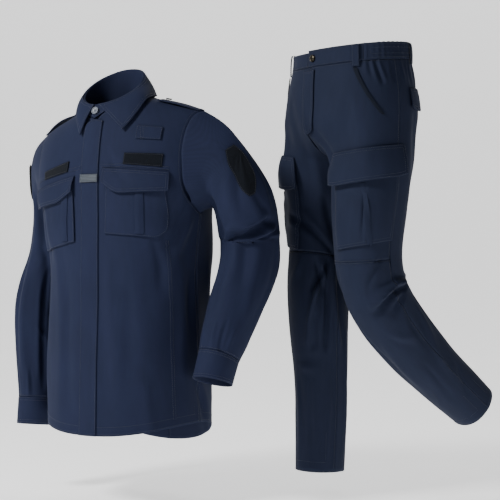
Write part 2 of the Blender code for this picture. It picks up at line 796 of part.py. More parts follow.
# Lower edge of the leaf, from the left front edge round the back to the right front edge:
# degrees round the neck, the panel, grid rows below the shoulder line, and place across
LEAF_EDGE = (
    (4, "left", "front", 4.28, 0.060),
    (32, "left", "front", 3.40, 0.078),
    (58, "left", "front", 2.30, 0.086),
    (82, "left", "front", 1.20, 0.086),
    (104, "left", "back", 0.60, 0.072),
    (130, "left", "back", 1.30, 0.050),
    (155, "left", "back", 2.00, 0.024),
    (180, "left", "back", 2.20, -0.018),
    (205, "right", "back", 2.00, -0.065),
    (230, "right", "back", 1.50, -0.092),
    (256, "right", "back", 0.80, -0.100),
    (278, "right", "front", 0.90, -0.100),
    (302, "right", "front", 1.90, -0.095),
    (328, "right", "front", 3.00, -0.078),
    (356, "right", "front", 4.50, -0.048),
)
LEAF_LIFT = 0.0070
LEAF_OFF = 0.0030
LEAF_BULGE = 0.004
edge_points = []
for degrees, side, facing, down, x in LEAF_EDGE:
    point, out = row_spot(side, facing, down, x)
    edge_points.append((math.radians(degrees), *(point + out * LEAF_LIFT)))
edge_line = table("turn x y z", *edge_points)
leaf_turns = np.concatenate([[edge_line["turn"][0]], turns[1:-1], [edge_line["turn"][-1]]])
edge = np.stack([read(edge_line, name, leaf_turns) for name in ("x", "y", "z")], axis=-1)
top = fold_ring(leaf_turns)
off = unit((top - (FOLD_X, FOLD_Y, 0)) * (1, 1, 0))
top = top + off * LEAF_OFF
leaf_rows = [edge]
for f in (1 / 3, 2 / 3):
    leaf_rows.append(edge * (1 - f) + top * f + (off + (0, 0, 0.5)) * LEAF_BULGE)
leaf_rows.append(top)
leaf = np.array(leaf_rows)
cloth("collar_leaf", leaf, normals_of(leaf, 1), SHIRT_CLOTH, shirt_place, thick=DOUBLE)

# Shoulder straps: sewn at the sleeve, buttoned near the collar, bowed up between
STRAP_STATIONS = 9
STRAP_RISE = {"left": 0.003, "right": 0.006}
STRAPS = {"left": (0.104, 0.204), "right": (-0.122, -0.224)}


def button(name, point, out, radius, height, material, place):
    """A turned button whose back faces a panel, with a rim round a sunk middle."""
    profile = table(
        "radius height",
        (0.0, height * 0.55),
        (radius * 0.62, height * 0.55),
        (radius * 0.72, height),
        (radius * 0.92, height),
        (radius, height * 0.7),
        (radius * 0.92, 0.0),
        (0.0, 0.0),
    )
    side = unit(np.cross(out, (0.0, 0.0, 1.0)))
    up = np.cross(out, side)
    count = 14
    turn = np.linspace(0, 2 * math.pi, count, endpoint=False)[:, None]
    spokes = side * np.cos(turn) + up * np.sin(turn)
    points = [point + out * profile["height"][0]]
    for r, h in zip(profile["radius"][1:-1], profile["height"][1:-1]):
        points += list(point + out * h + spokes * r)
    points.append(point)
    rings = len(profile["radius"]) - 2
    last = len(points) - 1
    faces = []
    for k in range(count):
        after = (k + 1) % count
        faces.append((0, 1 + k, 1 + after))
        for i in range(rings - 1):
            here = 1 + i * count
            faces.append((here + k, here + count + k, here + count + after, here + after))
        under = 1 + (rings - 1) * count
        faces.append((last, under + after, under + k))
    mesh = bpy.data.meshes.new(name)
    mesh.from_pydata([tuple(p) for p in points], [], faces)
    return put(name, mesh, material, place)


for side, (inner_x, outer_x) in STRAPS.items():
    rows = []
    sides = []
    for f in np.linspace(0, 1, STRAP_STATIONS):
        x = inner_x + (outer_x - inner_x) * f
        line = [row_spot(side, "front", down, x) for down in (0.95, 0.5, 0.0)]
        line += [row_spot(side, "back", down, x) for down in (0.5, 0.95)]
        bow = STRAP_RISE[side] * math.sin(math.pi * min(f * 1.1, 1.0))
        rows.append([point + out * bow for point, out in line])
        sides.append([out for point, out in line])
    points = np.array(rows)
    normals = np.array(sides)
    lift = level(0, DOUBLE)
    cloth(f"shoulder_strap_{side}", points, normals, SHIRT_CLOTH, shirt_place, lift=lift,
          thick=DOUBLE, flip=side == "left")
    out = normals_of(points, -SIDES[side])[1, 2]
    seat = points[1, 2] + out * (lift + DOUBLE / 2 + LAID / 2)
    button(f"strap_button_{side}", seat, out, 0.0065, 0.0028, BUTTON, shirt_place)

# Collar button, on the stand's closing
out = unit(np.cross((1.0, 0.0, 0.0), fold[0] - base[0]))
button("collar_button", (fold[0] + base[0]) / 2 + out * (DOUBLE / 2 + LAID / 2), out, 0.0085, 0.0030, BUTTON,
       shirt_place)

# Hook-and-loop shields on the upper sleeves: rows down the sleeve and half widths in columns
SHIELD = table("row half_width", (1.9, 0.75), (2.15, 1.0), (2.8, 1.1), (3.3, 0.95), (3.6, 0.60), (3.75, 0.3))
SHIELD_MIDDLE = {"left": 1.6, "right": 1.0}


def tube_spot(grid, normals, row, column):
    """Point and normal of a closed tube at a part row and a part column."""
    count = grid.shape[1]
    low = int(row)
    left = math.floor(column)
    part = column - left
    found = []
    for values in (grid, normals):
        lines = [values[k, left % count] * (1 - part) + values[k, (left + 1) % count] * part for k in (low, low + 1)]
        found.append(lines[0] * (1 - row + low) + lines[1] * (row - low))
    return found[0], unit(found[1])


for side in SIDES:
    grid, normals = sleeves[side]
    rows = []
    for row in np.linspace(SHIELD["row"][-1], SHIELD["row"][0], 9):
        reach = read(SHIELD, "half_width", row)
        rows.append([(row, SHIELD_MIDDLE[side] + reach * f) for f in np.linspace(-1, 1, 7)])
    laid(f"sleeve_shield_{side}", np.array(rows), lambda row, column: tube_spot(grid, normals, row, column),
         LOOP_TAPE, shirt_place, flip=side == "left", clear=0.0010)

# Waistband: two plain fronts and a gathered elastic back. Turns are degrees from the
# centre front, positive to the wearer's left.
BAND_OVERLAP = -4.0
BAND_SIDE = 56.0
BAND_ROWS = 3
GATHERS = 30
GATHER_DEPTH = 0.0010


def band_spot(turn, up):
    """Point and normal of the waistband at a turn in degrees and a height above its seam."""
    angle = math.radians(turn)
    c, s = arch(angle, HIP_ROUND)
    z = band_line(angle) + SEAM + up
    width = read(HIPS, "half_width", z)
    depth = read(HIPS, "half_depth", z)
    out = unit(np.array([s / width, -c / depth, 0.0]))
    return np.array([width * s, read(HIPS, "shift", z) - depth * c, z]), out


def band(name, turns, high, depths):
    """A waistband piece over some turns; depths moves each column of its outer side."""
    rows = [[band_spot(turn, up) for turn in turns] for up in np.linspace(0, high, BAND_ROWS)]
    points = np.array([[point for point, out in line] for line in rows])
    normals = np.array([[out for point, out in line] for line in rows])
    points = pulled(pulled(points, "first"), "last")
    outer = points + normals * (DOUBLE / 2 + depths[:, None])
    inner = points - normals * DOUBLE / 2
    return wall(name, outer, inner, TROUSER_CLOTH, trouser_place)


plain = np.zeros(7)
band("waistband_left", np.linspace(BAND_OVERLAP, BAND_SIDE, 7), BAND_HIGH, plain)
band("waistband_right", np.linspace(-BAND_SIDE, BAND_OVERLAP, 7), BAND_HIGH - 0.005, plain)
gathered = np.linspace(BAND_SIDE, 360 - BAND_SIDE, 2 * GATHERS + 1)
ribs = GATHER_DEPTH * (np.arange(2 * GATHERS + 1) % 2)
band("waistband_elastic", gathered, BAND_HIGH, ribs)

# Belt loops over the band, each a strip sewn at both ends
LOOP_HALF = 0.009
LOOP_TURNS = {"front_left": 47, "front_right": -47, "side_left": 120, "back": 180, "side_right": -120}
LOOP_LINE = table("up bow", (-0.012, 0.0), (0.000, 0.0022), (0.019, 0.0035), (0.034, 0.0022), (0.0365, 0.0))
for name, turn in LOOP_TURNS.items():
    middle, out = band_spot(turn, 0.0)
    lift = DOUBLE + SEAM + (GATHER_DEPTH if abs(turn) > BAND_SIDE else 0)
    half = math.degrees(LOOP_HALF / np.hypot(middle[0], middle[1]))
    rows = []
    sides = []
    for up, bow in zip(LOOP_LINE["up"], LOOP_LINE["bow"]):
        line = [band_spot(turn + half * f, up) for f in (-1, 0, 1)]
        rows.append([point + out * (bow + lift) for point, out in line])
        sides.append([out for point, out in line])
    cloth(f"belt_loop_{name}", np.array(rows), np.array(sides), TROUSER_CLOTH, trouser_place, thick=DOUBLE)

# Waist button, on the left front's end
point, out = band_spot(1.0, BAND_HIGH * 0.5)
button("waist_button", point + out * (DOUBLE / 2 + LAID / 2), out, 0.0080, 0.0035, METAL, trouser_place)


def hips(x, z):
    """Point and normal on the front of the trousers above the crotch."""
    grid, normals = trousers["left" if x >= 0 else "right"]
    front = slice(0, HIP_ROWS + CROTCH_ROWS), slice(0, LEG_COLS + 1)
    return across_at(grid[front], normals[front], x, z)


def leg_spot(side):
    """Finder of points and normals of a trouser half by part column and height."""
    grid, normals = trousers[side]

    def find(column, z):
        left = min(int(column), 2 * LEG_COLS - 1)
        part = column - left
        line = grid[:, left] * (1 - part) + grid[:, left + 1] * part
        facing = normals[:, left] * (1 - part) + normals[:, left + 1] * part
        rows = np.arange(len(line))
        at = np.interp(-z, -line[:, 2], rows)
        point = [np.interp(at, rows, line[:, k]) for k in range(3)]
        out = [np.interp(at, rows, facing[:, k]) for k in range(3)]
        return np.array(point), unit(np.array(out))

    return find


# Fly: the lapped strip below the waist button, rounded off at its lower end
FLY = table(
    "height from_x to_x",
    (0.2600, -0.0040, 0.0060),
    (0.2680, -0.0050, 0.0190),
    (0.2850, -0.0070, 0.0255),
    (0.3150, -0.0110, 0.0270),
    (0.3600, -0.0180, 0.0210),
    (0.4040, -0.0250, 0.0150),
)
rows = []
for z, start, end in zip(FLY["height"], FLY["from_x"], FLY["to_x"]):
    rows.append([(start + (end - start) * f, z) for f in np.linspace(0, 1, 5)])
laid("fly", np.array(rows), hips, TROUSER_CLOTH, trouser_place, clear=0.0016)

# Pieces laid on the legs, placed by part column and height. The turned edge of each slanted
# hip pocket is a line; the others are a bottom line, then a top line.
POCKET_EDGE = ((6.47, 0.2961), (5.70, 0.3210), (5.04, 0.3445), (4.23, 0.3880), (4.10, 0.4000))
EDGE_HALF = 0.18
BACK_FLAP = (((9.3, 0.3180), (9.6, 0.3110), (12.9, 0.3160), (13.2, 0.3230)), ((9.3, 0.3590), (13.2, 0.3650)))
CARGO_POCKET = (((3.6, -0.0010), (8.1, 0.0210)), ((3.6, 0.1950), (8.1, 0.2140)))
CARGO_FLAP = (((3.4, 0.1450), (3.7, 0.1400), (8.1, 0.1620), (8.35, 0.1680)), ((3.4, 0.2130), (8.35, 0.2330)))
CARGO_STEPS = (0.0, 0.05, 0.13, 0.22, 0.32, 0.41, 0.46, 0.50, 0.54, 0.59, 0.68, 0.78, 0.87, 0.95, 1.0)
PLEAT_COLUMN = 7


def cargo_rise(rows, cols):
    """The bag of a thigh pocket, with a pleat down its middle."""
    bag = pocket_rise(rows, cols)
    bag[:, PLEAT_COLUMN] *= 0.5
    return bag


for side in SIDES:
    find = leg_spot(side)
    flip = side == "right"
    lines = [[(column + EDGE_HALF * f, z) for f in (-1, 0, 1)] for column, z in POCKET_EDGE]
    laid(f"pocket_edge_{side}", np.array(lines), find, TROUSER_CLOTH, trouser_place, flip=flip, clear=0.0008)
    bottom, top = (resampled(line, 8) for line in BACK_FLAP)
    laid(f"back_flap_{side}", between(bottom, top, 4), find, TROUSER_CLOTH, trouser_place,
         thick=DOUBLE, puff=0.003, rise=flap_rise, flip=flip)
    lines = []
    for start, end in CARGO_POCKET:
        lines.append([(start[0] + (end[0] - start[0]) * f, start[1] + (end[1] - start[1]) * f) for f in CARGO_STEPS])
    laid(f"cargo_pocket_{side}", between(*lines, 10), find, TROUSER_CLOTH, trouser_place,
         puff=0.009, rise=cargo_rise, flip=flip, clear=0.0016)
    bottom, top = (resampled(line, 12) for line in CARGO_FLAP)
    laid(f"cargo_flap_{side}", between(bottom, top, 4), find, TROUSER_CLOTH, trouser_place,
         thick=DOUBLE, puff=0.0145, rise=flap_rise, flip=flip, clear=0.0011)
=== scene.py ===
import math

import bpy
import numpy as np
from mathutils import Matrix, Vector, noise
from mathutils.bvhtree import BVHTree


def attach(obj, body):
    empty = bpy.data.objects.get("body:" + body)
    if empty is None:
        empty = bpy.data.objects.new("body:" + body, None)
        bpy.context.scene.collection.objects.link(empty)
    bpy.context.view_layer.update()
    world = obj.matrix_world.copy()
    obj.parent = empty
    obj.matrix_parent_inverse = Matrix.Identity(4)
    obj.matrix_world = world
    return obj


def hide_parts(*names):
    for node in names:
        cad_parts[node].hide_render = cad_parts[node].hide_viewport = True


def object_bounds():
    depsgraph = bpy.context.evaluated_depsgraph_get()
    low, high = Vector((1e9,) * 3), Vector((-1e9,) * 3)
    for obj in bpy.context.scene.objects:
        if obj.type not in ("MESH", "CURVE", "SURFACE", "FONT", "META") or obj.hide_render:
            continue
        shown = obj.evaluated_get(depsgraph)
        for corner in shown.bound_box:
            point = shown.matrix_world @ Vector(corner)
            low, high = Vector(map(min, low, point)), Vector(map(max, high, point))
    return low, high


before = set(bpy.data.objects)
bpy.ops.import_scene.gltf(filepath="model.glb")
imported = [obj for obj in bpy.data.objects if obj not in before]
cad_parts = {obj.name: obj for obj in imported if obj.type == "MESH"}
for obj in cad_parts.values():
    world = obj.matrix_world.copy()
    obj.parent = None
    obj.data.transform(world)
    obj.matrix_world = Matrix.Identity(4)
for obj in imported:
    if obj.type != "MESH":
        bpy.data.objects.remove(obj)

solid_low, solid_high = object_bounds()

# The studio
# A pale seamless sheet of paper sweeps up behind the pair, with one soft main light in front
# on the left, a weaker one on the right and one from behind, so the navy cloth keeps soft shade.
floor_drop = 0.05
paper_half = 7.0
paper_bend = 3.0
camera_distance = 3.2
view_width = 1.15
view_middle = Vector((0.307, 0.017, -0.360))
sensor_mm = 36.0


def linear(hex_colour):
    """An sRGB hex colour as the linear RGBA that Blender's sockets take."""
    shares = [int(hex_colour[k:k + 2], 16) / 255 for k in (0, 2, 4)]
    curved = [c / 12.92 if c <= 0.04045 else ((c + 0.055) / 1.055) ** 2.4 for c in shares]
    return (*curved, 1.0)


def add_node(tree, kind, links=None, values=None, **settings):
    """Adds a node, with its settings, its unlinked inputs' values and the sockets that feed it."""
    node = tree.nodes.new(kind)
    for key, value in settings.items():
        setattr(node, key, value)
    for key, value in (values or {}).items():
        node.inputs[key].default_value = value
    for key, socket in (links or {}).items():
        tree.links.new(socket, node.inputs[key])
    return node


def new_material(name, values):
    """A material, its node tree, and its one Principled shader with those inputs' values."""
    material = bpy.data.materials.new(name)
    material.use_nodes = True
    tree = material.node_tree
    shader = tree.nodes["Principled BSDF"]
    for key, value in values.items():
        shader.inputs[key].default_value = value
    return material, tree, shader


def colour_between(tree, shader, amount, shade, light):
    """Colours the shader between two sRGB hex colours, by an amount from 0 to 1."""
    colour = add_node(tree, "ShaderNodeMixRGB", {"Fac": amount},
                      {"Color1": linear(shade), "Color2": linear(light)})
    tree.links.new(colour.outputs["Color"], shader.inputs["Base Color"])


bpy.ops.object.select_all(action="DESELECT")
floor_z = solid_low.z - floor_drop
bpy.ops.mesh.primitive_plane_add(size=2 * paper_half, location=(view_middle.x, 0, floor_z))
paper = bpy.context.object
paper.name = "studio_paper"
bpy.ops.object.mode_set(mode="EDIT")
bpy.ops.mesh.select_all(action="DESELECT")
bpy.ops.object.mode_set(mode="OBJECT")
for edge in paper.data.edges:
    edge.select = all(paper.data.vertices[k].co.y > 0 for k in edge.vertices)
bpy.ops.object.mode_set(mode="EDIT")
bpy.ops.mesh.extrude_region_move(TRANSFORM_OT_translate={"value": (0, 0, paper_half)})
bpy.ops.object.mode_set(mode="OBJECT")
for edge in paper.data.edges:
    ends = [paper.data.vertices[k].co for k in edge.vertices]
    edge.select = all(end.y > 0 and abs(end.z) < 0.01 for end in ends)
bpy.ops.object.mode_set(mode="EDIT")
bpy.ops.mesh.bevel(offset=paper_bend, segments=16)
bpy.ops.object.mode_set(mode="OBJECT")
bpy.ops.object.shade_smooth()
bpy.ops.object.transform_apply(location=True)
# Matt white paper: a rough, even surface that glows a little towards pure white.
paper_material, tree, shader = new_material("matt_white_paper", {
    "Roughness": 0.95, "Emission Color": linear("ffffff"), "Emission Strength": 0.95})
fibre = add_node(tree, "ShaderNodeTexNoise", values={"Scale": 60.0, "Detail": 3.0})
colour_between(tree, shader, fibre.outputs["Fac"], "f7f7f7", "ffffff")
paper.data.materials.append(paper_material)

world = bpy.data.worlds.new("pale_room")
world.use_nodes = True
world.node_tree.nodes["Background"].inputs["Color"].default_value = linear("fbfcff")
world.node_tree.nodes["Background"].inputs["Strength"].default_value = 0.10
bpy.context.scene.world = world

# name, place, power in watts, side in metres
lights = (
    ("key_light", (-2.0, -1.35, 1.6), 102, 0.7),
    ("fill_light", (2.9, -2.4, 0.2), 3, 2.2),
    ("rim_light", (0.9, 1.9, 1.9), 14, 1.4),
)
for name, place, power, side in lights:
    lamp = bpy.data.lights.new(name, "AREA")
    lamp.energy = power
    lamp.size = side
    holder = bpy.data.objects.new(name, lamp)
    holder.location = place
    holder.rotation_euler = (view_middle - holder.location).to_track_quat("-Z", "Y").to_euler()
    bpy.context.collection.objects.link(holder)

lens = bpy.data.cameras.new("photo_camera")
lens.sensor_width = sensor_mm
lens.lens = sensor_mm * camera_distance / view_width
camera = bpy.data.objects.new("photo_camera", lens)
camera.location = view_middle - Vector((0, camera_distance, 0))
camera.rotation_euler = (math.pi / 2, 0, 0)
bpy.context.collection.objects.link(camera)
bpy.context.scene.camera = camera

# The shirt's fronts and backs
# Four panels of navy polyester and cotton twill, joined by flat-felled side and shoulder seams,
# and worn with no wearer, so that they hang from the shoulders in long soft folds.
shirt_cloth = {"shade": "141a2d", "light": "232a46", "twill_mm": 3.4}
shirt_place = (0.031, 0.017, -0.360)
shirt_turn = -30.0
neck_lean = -0.008
shoulder_z = (0.18, 0.34)

# The charts of the garments' tubes: which garment, which side, and the middle line's points.
# A point's turn is the angle round that line in degrees, and its along is the way down it.
# Around is its usual radius in metres, and depth is how deep its folds are pressed.
charts = {"shirt_body": {"garment": "shirt", "line": None, "middle": neck_lean, "around": 0.17,
                         "depth": 1.5}}
garment_frames = {"shirt": (shirt_place, shirt_turn)}


def into_garment(points, garment):
    """World points in the garment's own axes, where its front looks along -Y."""
    place, turn = garment_frames[garment]
    angle = math.radians(turn)
    x, y, z = (points - np.array(place)).T
    return np.stack([x * math.cos(angle) + y * math.sin(angle),
                     y * math.cos(angle) - x * math.sin(angle), z], axis=1)


def out_of_garment(vectors, garment):
    """Directions in the garment's own axes, turned into the world's."""
    angle = math.radians(garment_frames[garment][1])
    x, y, z = vectors.T
    return np.stack([x * math.cos(angle) - y * math.sin(angle),
                     x * math.sin(angle) + y * math.cos(angle), z], axis=1)


def unit(vectors):
    return vectors / np.maximum(np.linalg.norm(vectors, axis=-1, keepdims=True), 1e-9)


def smooth_line(rows, steps=10):
    """A finer line through the rows, as a cubic with the rows' own slopes."""
    rows = np.array(rows, float)
    slopes = np.gradient(rows, axis=0)
    places = np.linspace(0, len(rows) - 1, (len(rows) - 1) * steps + 1)
    spot = np.minimum(places.astype(int), len(rows) - 2)
    share = (places - spot)[:, None]
    return ((1 + 2 * share) * (1 - share) ** 2 * rows[spot] + share * (1 - share) ** 2 * slopes[spot]
            + share ** 2 * (3 - 2 * share) * rows[spot + 1] + share ** 2 * (share - 1) * slopes[spot + 1])


def chart(points, part):
    """For world points: the turn in degrees, the way along in metres, and the outward direction."""
    own = charts[part]
    local = into_garment(points, own["garment"])
    if own["line"] is None:
        sideways = np.stack([local[:, 0] - own["middle"], local[:, 1], np.zeros(len(local))], axis=1)
        top = np.clip((local[:, 2] - shoulder_z[0]) / (shoulder_z[1] - shoulder_z[0]), 0, 1)
        outward = unit(unit(sideways) + np.array([0, 0, 0.9]) * top[:, None])
        turn = np.degrees(np.arctan2(sideways[:, 0], -sideways[:, 1]))
        return turn, -local[:, 2], out_of_garment(outward, own["garment"])
    line = smooth_line(own["line"])
    steps = np.diff(line, axis=0)
    lengths = np.linalg.norm(steps, axis=1)
    down_to = np.concatenate([[0], np.cumsum(lengths)])
    slopes = unit(np.gradient(line, axis=0))
    nearest = np.full(len(local), np.inf)
    along = np.zeros(len(local))
    where = np.zeros(len(local))
    for k, step in enumerate(steps):
        first, last = (-1e3 if k == 0 else 0), (1e3 if k == len(steps) - 1 else 1)
        share = np.clip((local - line[k]) @ step / lengths[k] ** 2, first, last)
        away = np.linalg.norm(local - line[k] - share[:, None] * step, axis=1)
        nearer = away < nearest
        nearest[nearer] = away[nearer]
        along[nearer] = down_to[k] + share[nearer] * lengths[k]
        where[nearer] = k + share[nearer]
    where = np.clip(where, 0, len(line) - 1)
    spot = np.minimum(where.astype(int), len(line) - 2)
    share = (where - spot)[:, None]
    slope = unit(slopes[spot] * (1 - share) + slopes[spot + 1] * share)
    middle = line[spot] + share * (line[spot + 1] - line[spot])
    side = own["side"]
    out = unit(np.array([side, 0.0, 0.0]) - slope * slope[:, :1] * side)
    front = np.cross(slope, out) * side
    arm = local - middle
    arm = arm - slope * (arm * slope).sum(axis=1, keepdims=True)
    turn = np.degrees(np.arctan2((arm * front).sum(axis=1), (arm * out).sum(axis=1)))
    return turn, along, out_of_garment(unit(arm), own["garment"])


def short_way(degrees):
    """An angle as the shorter way round."""
    return (degrees + 180) % 360 - 180


# A fold dies away past its ends and has a lower counter-fold beside its crest. Both are in shares
# of the fold's width, and the counter-fold's height is a share of the crest's.
fold_fade = 1.2
counter_out = 1.9
counter_wide = 1.2
counter_high = 0.45


def fold_heights(turn, along, part, folds):
    """How far out the part's folds move each spot, in metres."""
    around = math.radians(1) * charts[part]["around"]
    height = np.zeros(len(turn))
    depth = charts[part].get("depth", 1.0)
    for from_turn, from_along, to_turn, to_along, wide_mm, high_mm, bow_mm in folds:
        run = np.array([short_way(to_turn - from_turn) * around, to_along - from_along])
        length = float(np.hypot(*run))
        run = run / length
        x = short_way(turn - from_turn) * around
        y = along - from_along
        share = (x * run[0] + y * run[1]) / length
        inside = np.clip(share, 0, 1)
        across = x * run[1] - y * run[0] - bow_mm / 1000 * np.sin(math.pi * inside)
        beyond = (share - inside) * length
        wide = wide_mm / 1000 * (0.75 + 0.5 * inside)
        fade = np.sin(math.pi * np.clip(0.12 + 0.76 * inside, 0, 1)) ** 0.7
        reach = np.exp(-(beyond / (fold_fade * wide)) ** 2) * fade
        crest = np.exp(-(across / wide) ** 2)
        counter = np.exp(-((across - counter_out * wide) / (counter_wide * wide)) ** 2)
        height += depth * high_mm / 1000 * reach * (crest - counter_high * counter)
    return height


def drape_heights(points, drape_mm, patch):
    """Slow uneven drape: noise over patches of cloth, longer down than across."""
    spots = points / np.array([patch, patch, 2.2 * patch])
    return np.array([noise.noise(Vector(spot)) for spot in spots]) * drape_mm / 1000


def gather_heights(turn, along, pitch, high_mm, from_along, channel):
    """Gathers round an elastic band: upright puckers, pinched where each channel is sewn."""
    uneven = 0.35 * np.sin(np.radians(turn) * 7) + 0.25 * np.sin(np.radians(turn) * 17 + 1.0)
    ends = np.clip((np.abs(turn) - np.abs(turn).min()) / 8 - 0.15, 0, 1)
    pucker = np.sin(2 * math.pi * turn / pitch + 2 * uneven)
    puff = np.abs(np.sin(math.pi * (along - from_along) / channel))
    return high_mm / 1000 * ends * puff * (0.4 + 0.6 * pucker)


def wall_groups(mesh, sharpest):
    """The number of each face's group, where groups end at edges sharper than that, and those edges."""
    faces_at = [[] for _ in mesh.edges]
    edge_of = {edge.key: edge.index for edge in mesh.edges}
    for face in mesh.polygons:
        for key in face.edge_keys:
            faces_at[edge_of[key]].append(face.index)
    normals = [face.normal for face in mesh.polygons]
    sharp = [len(two) != 2 or normals[two[0]].angle(normals[two[1]], 0) > sharpest for two in faces_at]
    group = [-1] * len(mesh.polygons)
    for start in range(len(group)):
        if group[start] >= 0:
            continue
        group[start] = start
        waiting = [start]
        while waiting:
            for key in mesh.polygons[waiting.pop()].edge_keys:
                edge = edge_of[key]
                for other in [] if sharp[edge] else faces_at[edge]:
                    if group[other] < 0:
                        group[other] = start
                        waiting.append(other)
    return np.array(group), np.array(sharp, dtype=np.float32)


def read(items, key, width=1, kind=np.float32):
    values = np.empty(len(items) * width, kind)
    items.foreach_get(key, values)
    return values.reshape(-1, width) if width > 1 else values


def make_active(piece):
    bpy.ops.object.select_all(action="DESELECT")
    bpy.context.view_layer.objects.active = piece
    piece.select_set(True)


def cloth_from(node, part, level=3, folds=(), drape_mm=1.2, patch=0.07, gathers=None):
    """The cloth of a solid wall: merged, made quads, rounded, and moved by its part's folds."""
    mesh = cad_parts[node].data.copy()
    piece = bpy.data.objects.new(node + "_cloth", mesh)
    bpy.context.collection.objects.link(piece)
    make_active(piece)
    bpy.ops.object.mode_set(mode="EDIT")
    bpy.ops.mesh.select_all(action="SELECT")
    bpy.ops.mesh.remove_doubles(threshold=0.00001)
    bpy.ops.mesh.tris_convert_to_quads(face_threshold=math.radians(50), shape_threshold=math.pi)
    bpy.ops.object.mode_set(mode="OBJECT")
    group, sharp = wall_groups(mesh, math.radians(55))
    areas = read(mesh.polygons, "area")
    centres = read(mesh.polygons, "center", 3).astype(float)
    facing = (read(mesh.polygons, "normal", 3) * chart(centres, part)[2]).sum(axis=1) * areas
    two_walls = sorted(set(group), key=lambda number: -areas[group == number].sum())[:2]
    outer = max(two_walls, key=lambda number: facing[group == number].sum())
    mesh.attributes.new("outer", "INT", "FACE").data.foreach_set("value", (group == outer).astype(np.int32))
    mesh.attributes.new("crease_edge", "FLOAT", "EDGE").data.foreach_set("value", sharp)
    rounding = piece.modifiers.new("rounding", "SUBSURF")
    rounding.levels = level
    rounding.render_levels = level
    bpy.ops.object.modifier_apply(modifier="rounding")
    mesh = piece.data
    points = read(mesh.vertices, "co", 3).astype(float)
    turn, along, outward = chart(points, part)
    height = fold_heights(turn, along, part, folds)
    if drape_mm:
        height += drape_heights(points, drape_mm, patch)
    if gathers:
        height += gather_heights(turn, along, *gathers)
    points += outward * height[:, None]
    mesh.vertices.foreach_set("co", points.astype(np.float32).ravel())
    lay_weave(mesh, turn, along, charts[part]["around"])
    mesh.shade_smooth()
    mesh.update()
    return piece


def lay_weave(mesh, turn, along, around):
    """A UV map in metres: round the part across, and down it along, with no jump inside a face."""
    corners = read(mesh.loops, "vertex_index", kind=np.int32)
    starts = read(mesh.polygons, "loop_start", kind=np.int32)
    totals = read(mesh.polygons, "loop_total", kind=np.int32)
    first = np.repeat(turn[corners[starts]], totals)
    across = (first + short_way(turn[corners] - first)) * math.radians(1) * around
    layer = mesh.uv_layers.new(name="weave")
    layer.data.foreach_set("uv", np.stack([across, along[corners]], axis=1).astype(np.float32).ravel())


def blend(tree, one, other, share):
    """A mix of two sockets, with that share of the second."""
    mixed = add_node(tree, "ShaderNodeMixRGB", {"Color1": one, "Color2": other}, {"Fac": share})
    return mixed.outputs["Color"]


def raise_by(tree, shader, height, strength, distance):
    """Gives the shader a bump of that height, up to that many metres."""
    relief = add_node(tree, "ShaderNodeBump", {"Height": height},
                      {"Strength": strength, "Distance": distance})
    tree.links.new(relief.outputs["Normal"], shader.inputs["Normal"])


def woven_twill(name, shade, light, twill_mm):
    """Fine twill of dyed polyester and cotton: matt, with faint diagonal ribs and a soft bloom of
    fibre ends. Its real ribs are 0.5 mm apart and are drawn coarser, so that they show at all."""
    material, tree, shader = new_material(name, {
        "Roughness": 0.82, "Specular IOR Level": 0.16, "Sheen Weight": 0.06, "Sheen Roughness": 0.45,
        "Sheen Tint": linear("8792ad")})
    weave = add_node(tree, "ShaderNodeUVMap", uv_map="weave")
    diagonal_period = 0.444
    ribs = add_node(tree, "ShaderNodeTexWave", {"Vector": weave.outputs["UV"]},
                    {"Scale": diagonal_period / (twill_mm / 1000), "Distortion": 0.6, "Detail": 1.0},
                    wave_type="BANDS", bands_direction="DIAGONAL")
    slub_mm = 9.0
    slub_stretch = add_node(tree, "ShaderNodeMapping", {"Vector": weave.outputs["UV"]},
                            {"Scale": (1.0, 0.22, 1.0)})
    slubs = add_node(tree, "ShaderNodeTexNoise", {"Vector": slub_stretch.outputs["Vector"]},
                     {"Scale": 1000 / slub_mm, "Detail": 4.0, "Roughness": 0.6})
    place = add_node(tree, "ShaderNodeTexCoord")
    tone_mm = 120.0
    tone = add_node(tree, "ShaderNodeTexNoise", {"Vector": place.outputs["Object"]},
                    {"Scale": 1000 / tone_mm, "Detail": 3.0})
    threads = blend(tree, ribs.outputs["Fac"], slubs.outputs["Fac"], 0.75)
    colour_between(tree, shader, blend(tree, threads, tone.outputs["Fac"], 0.45), shade, light)
    raise_by(tree, shader, threads, 0.25, 0.0006)
    return material


shirt_twill = woven_twill("shirt_twill", **shirt_cloth)


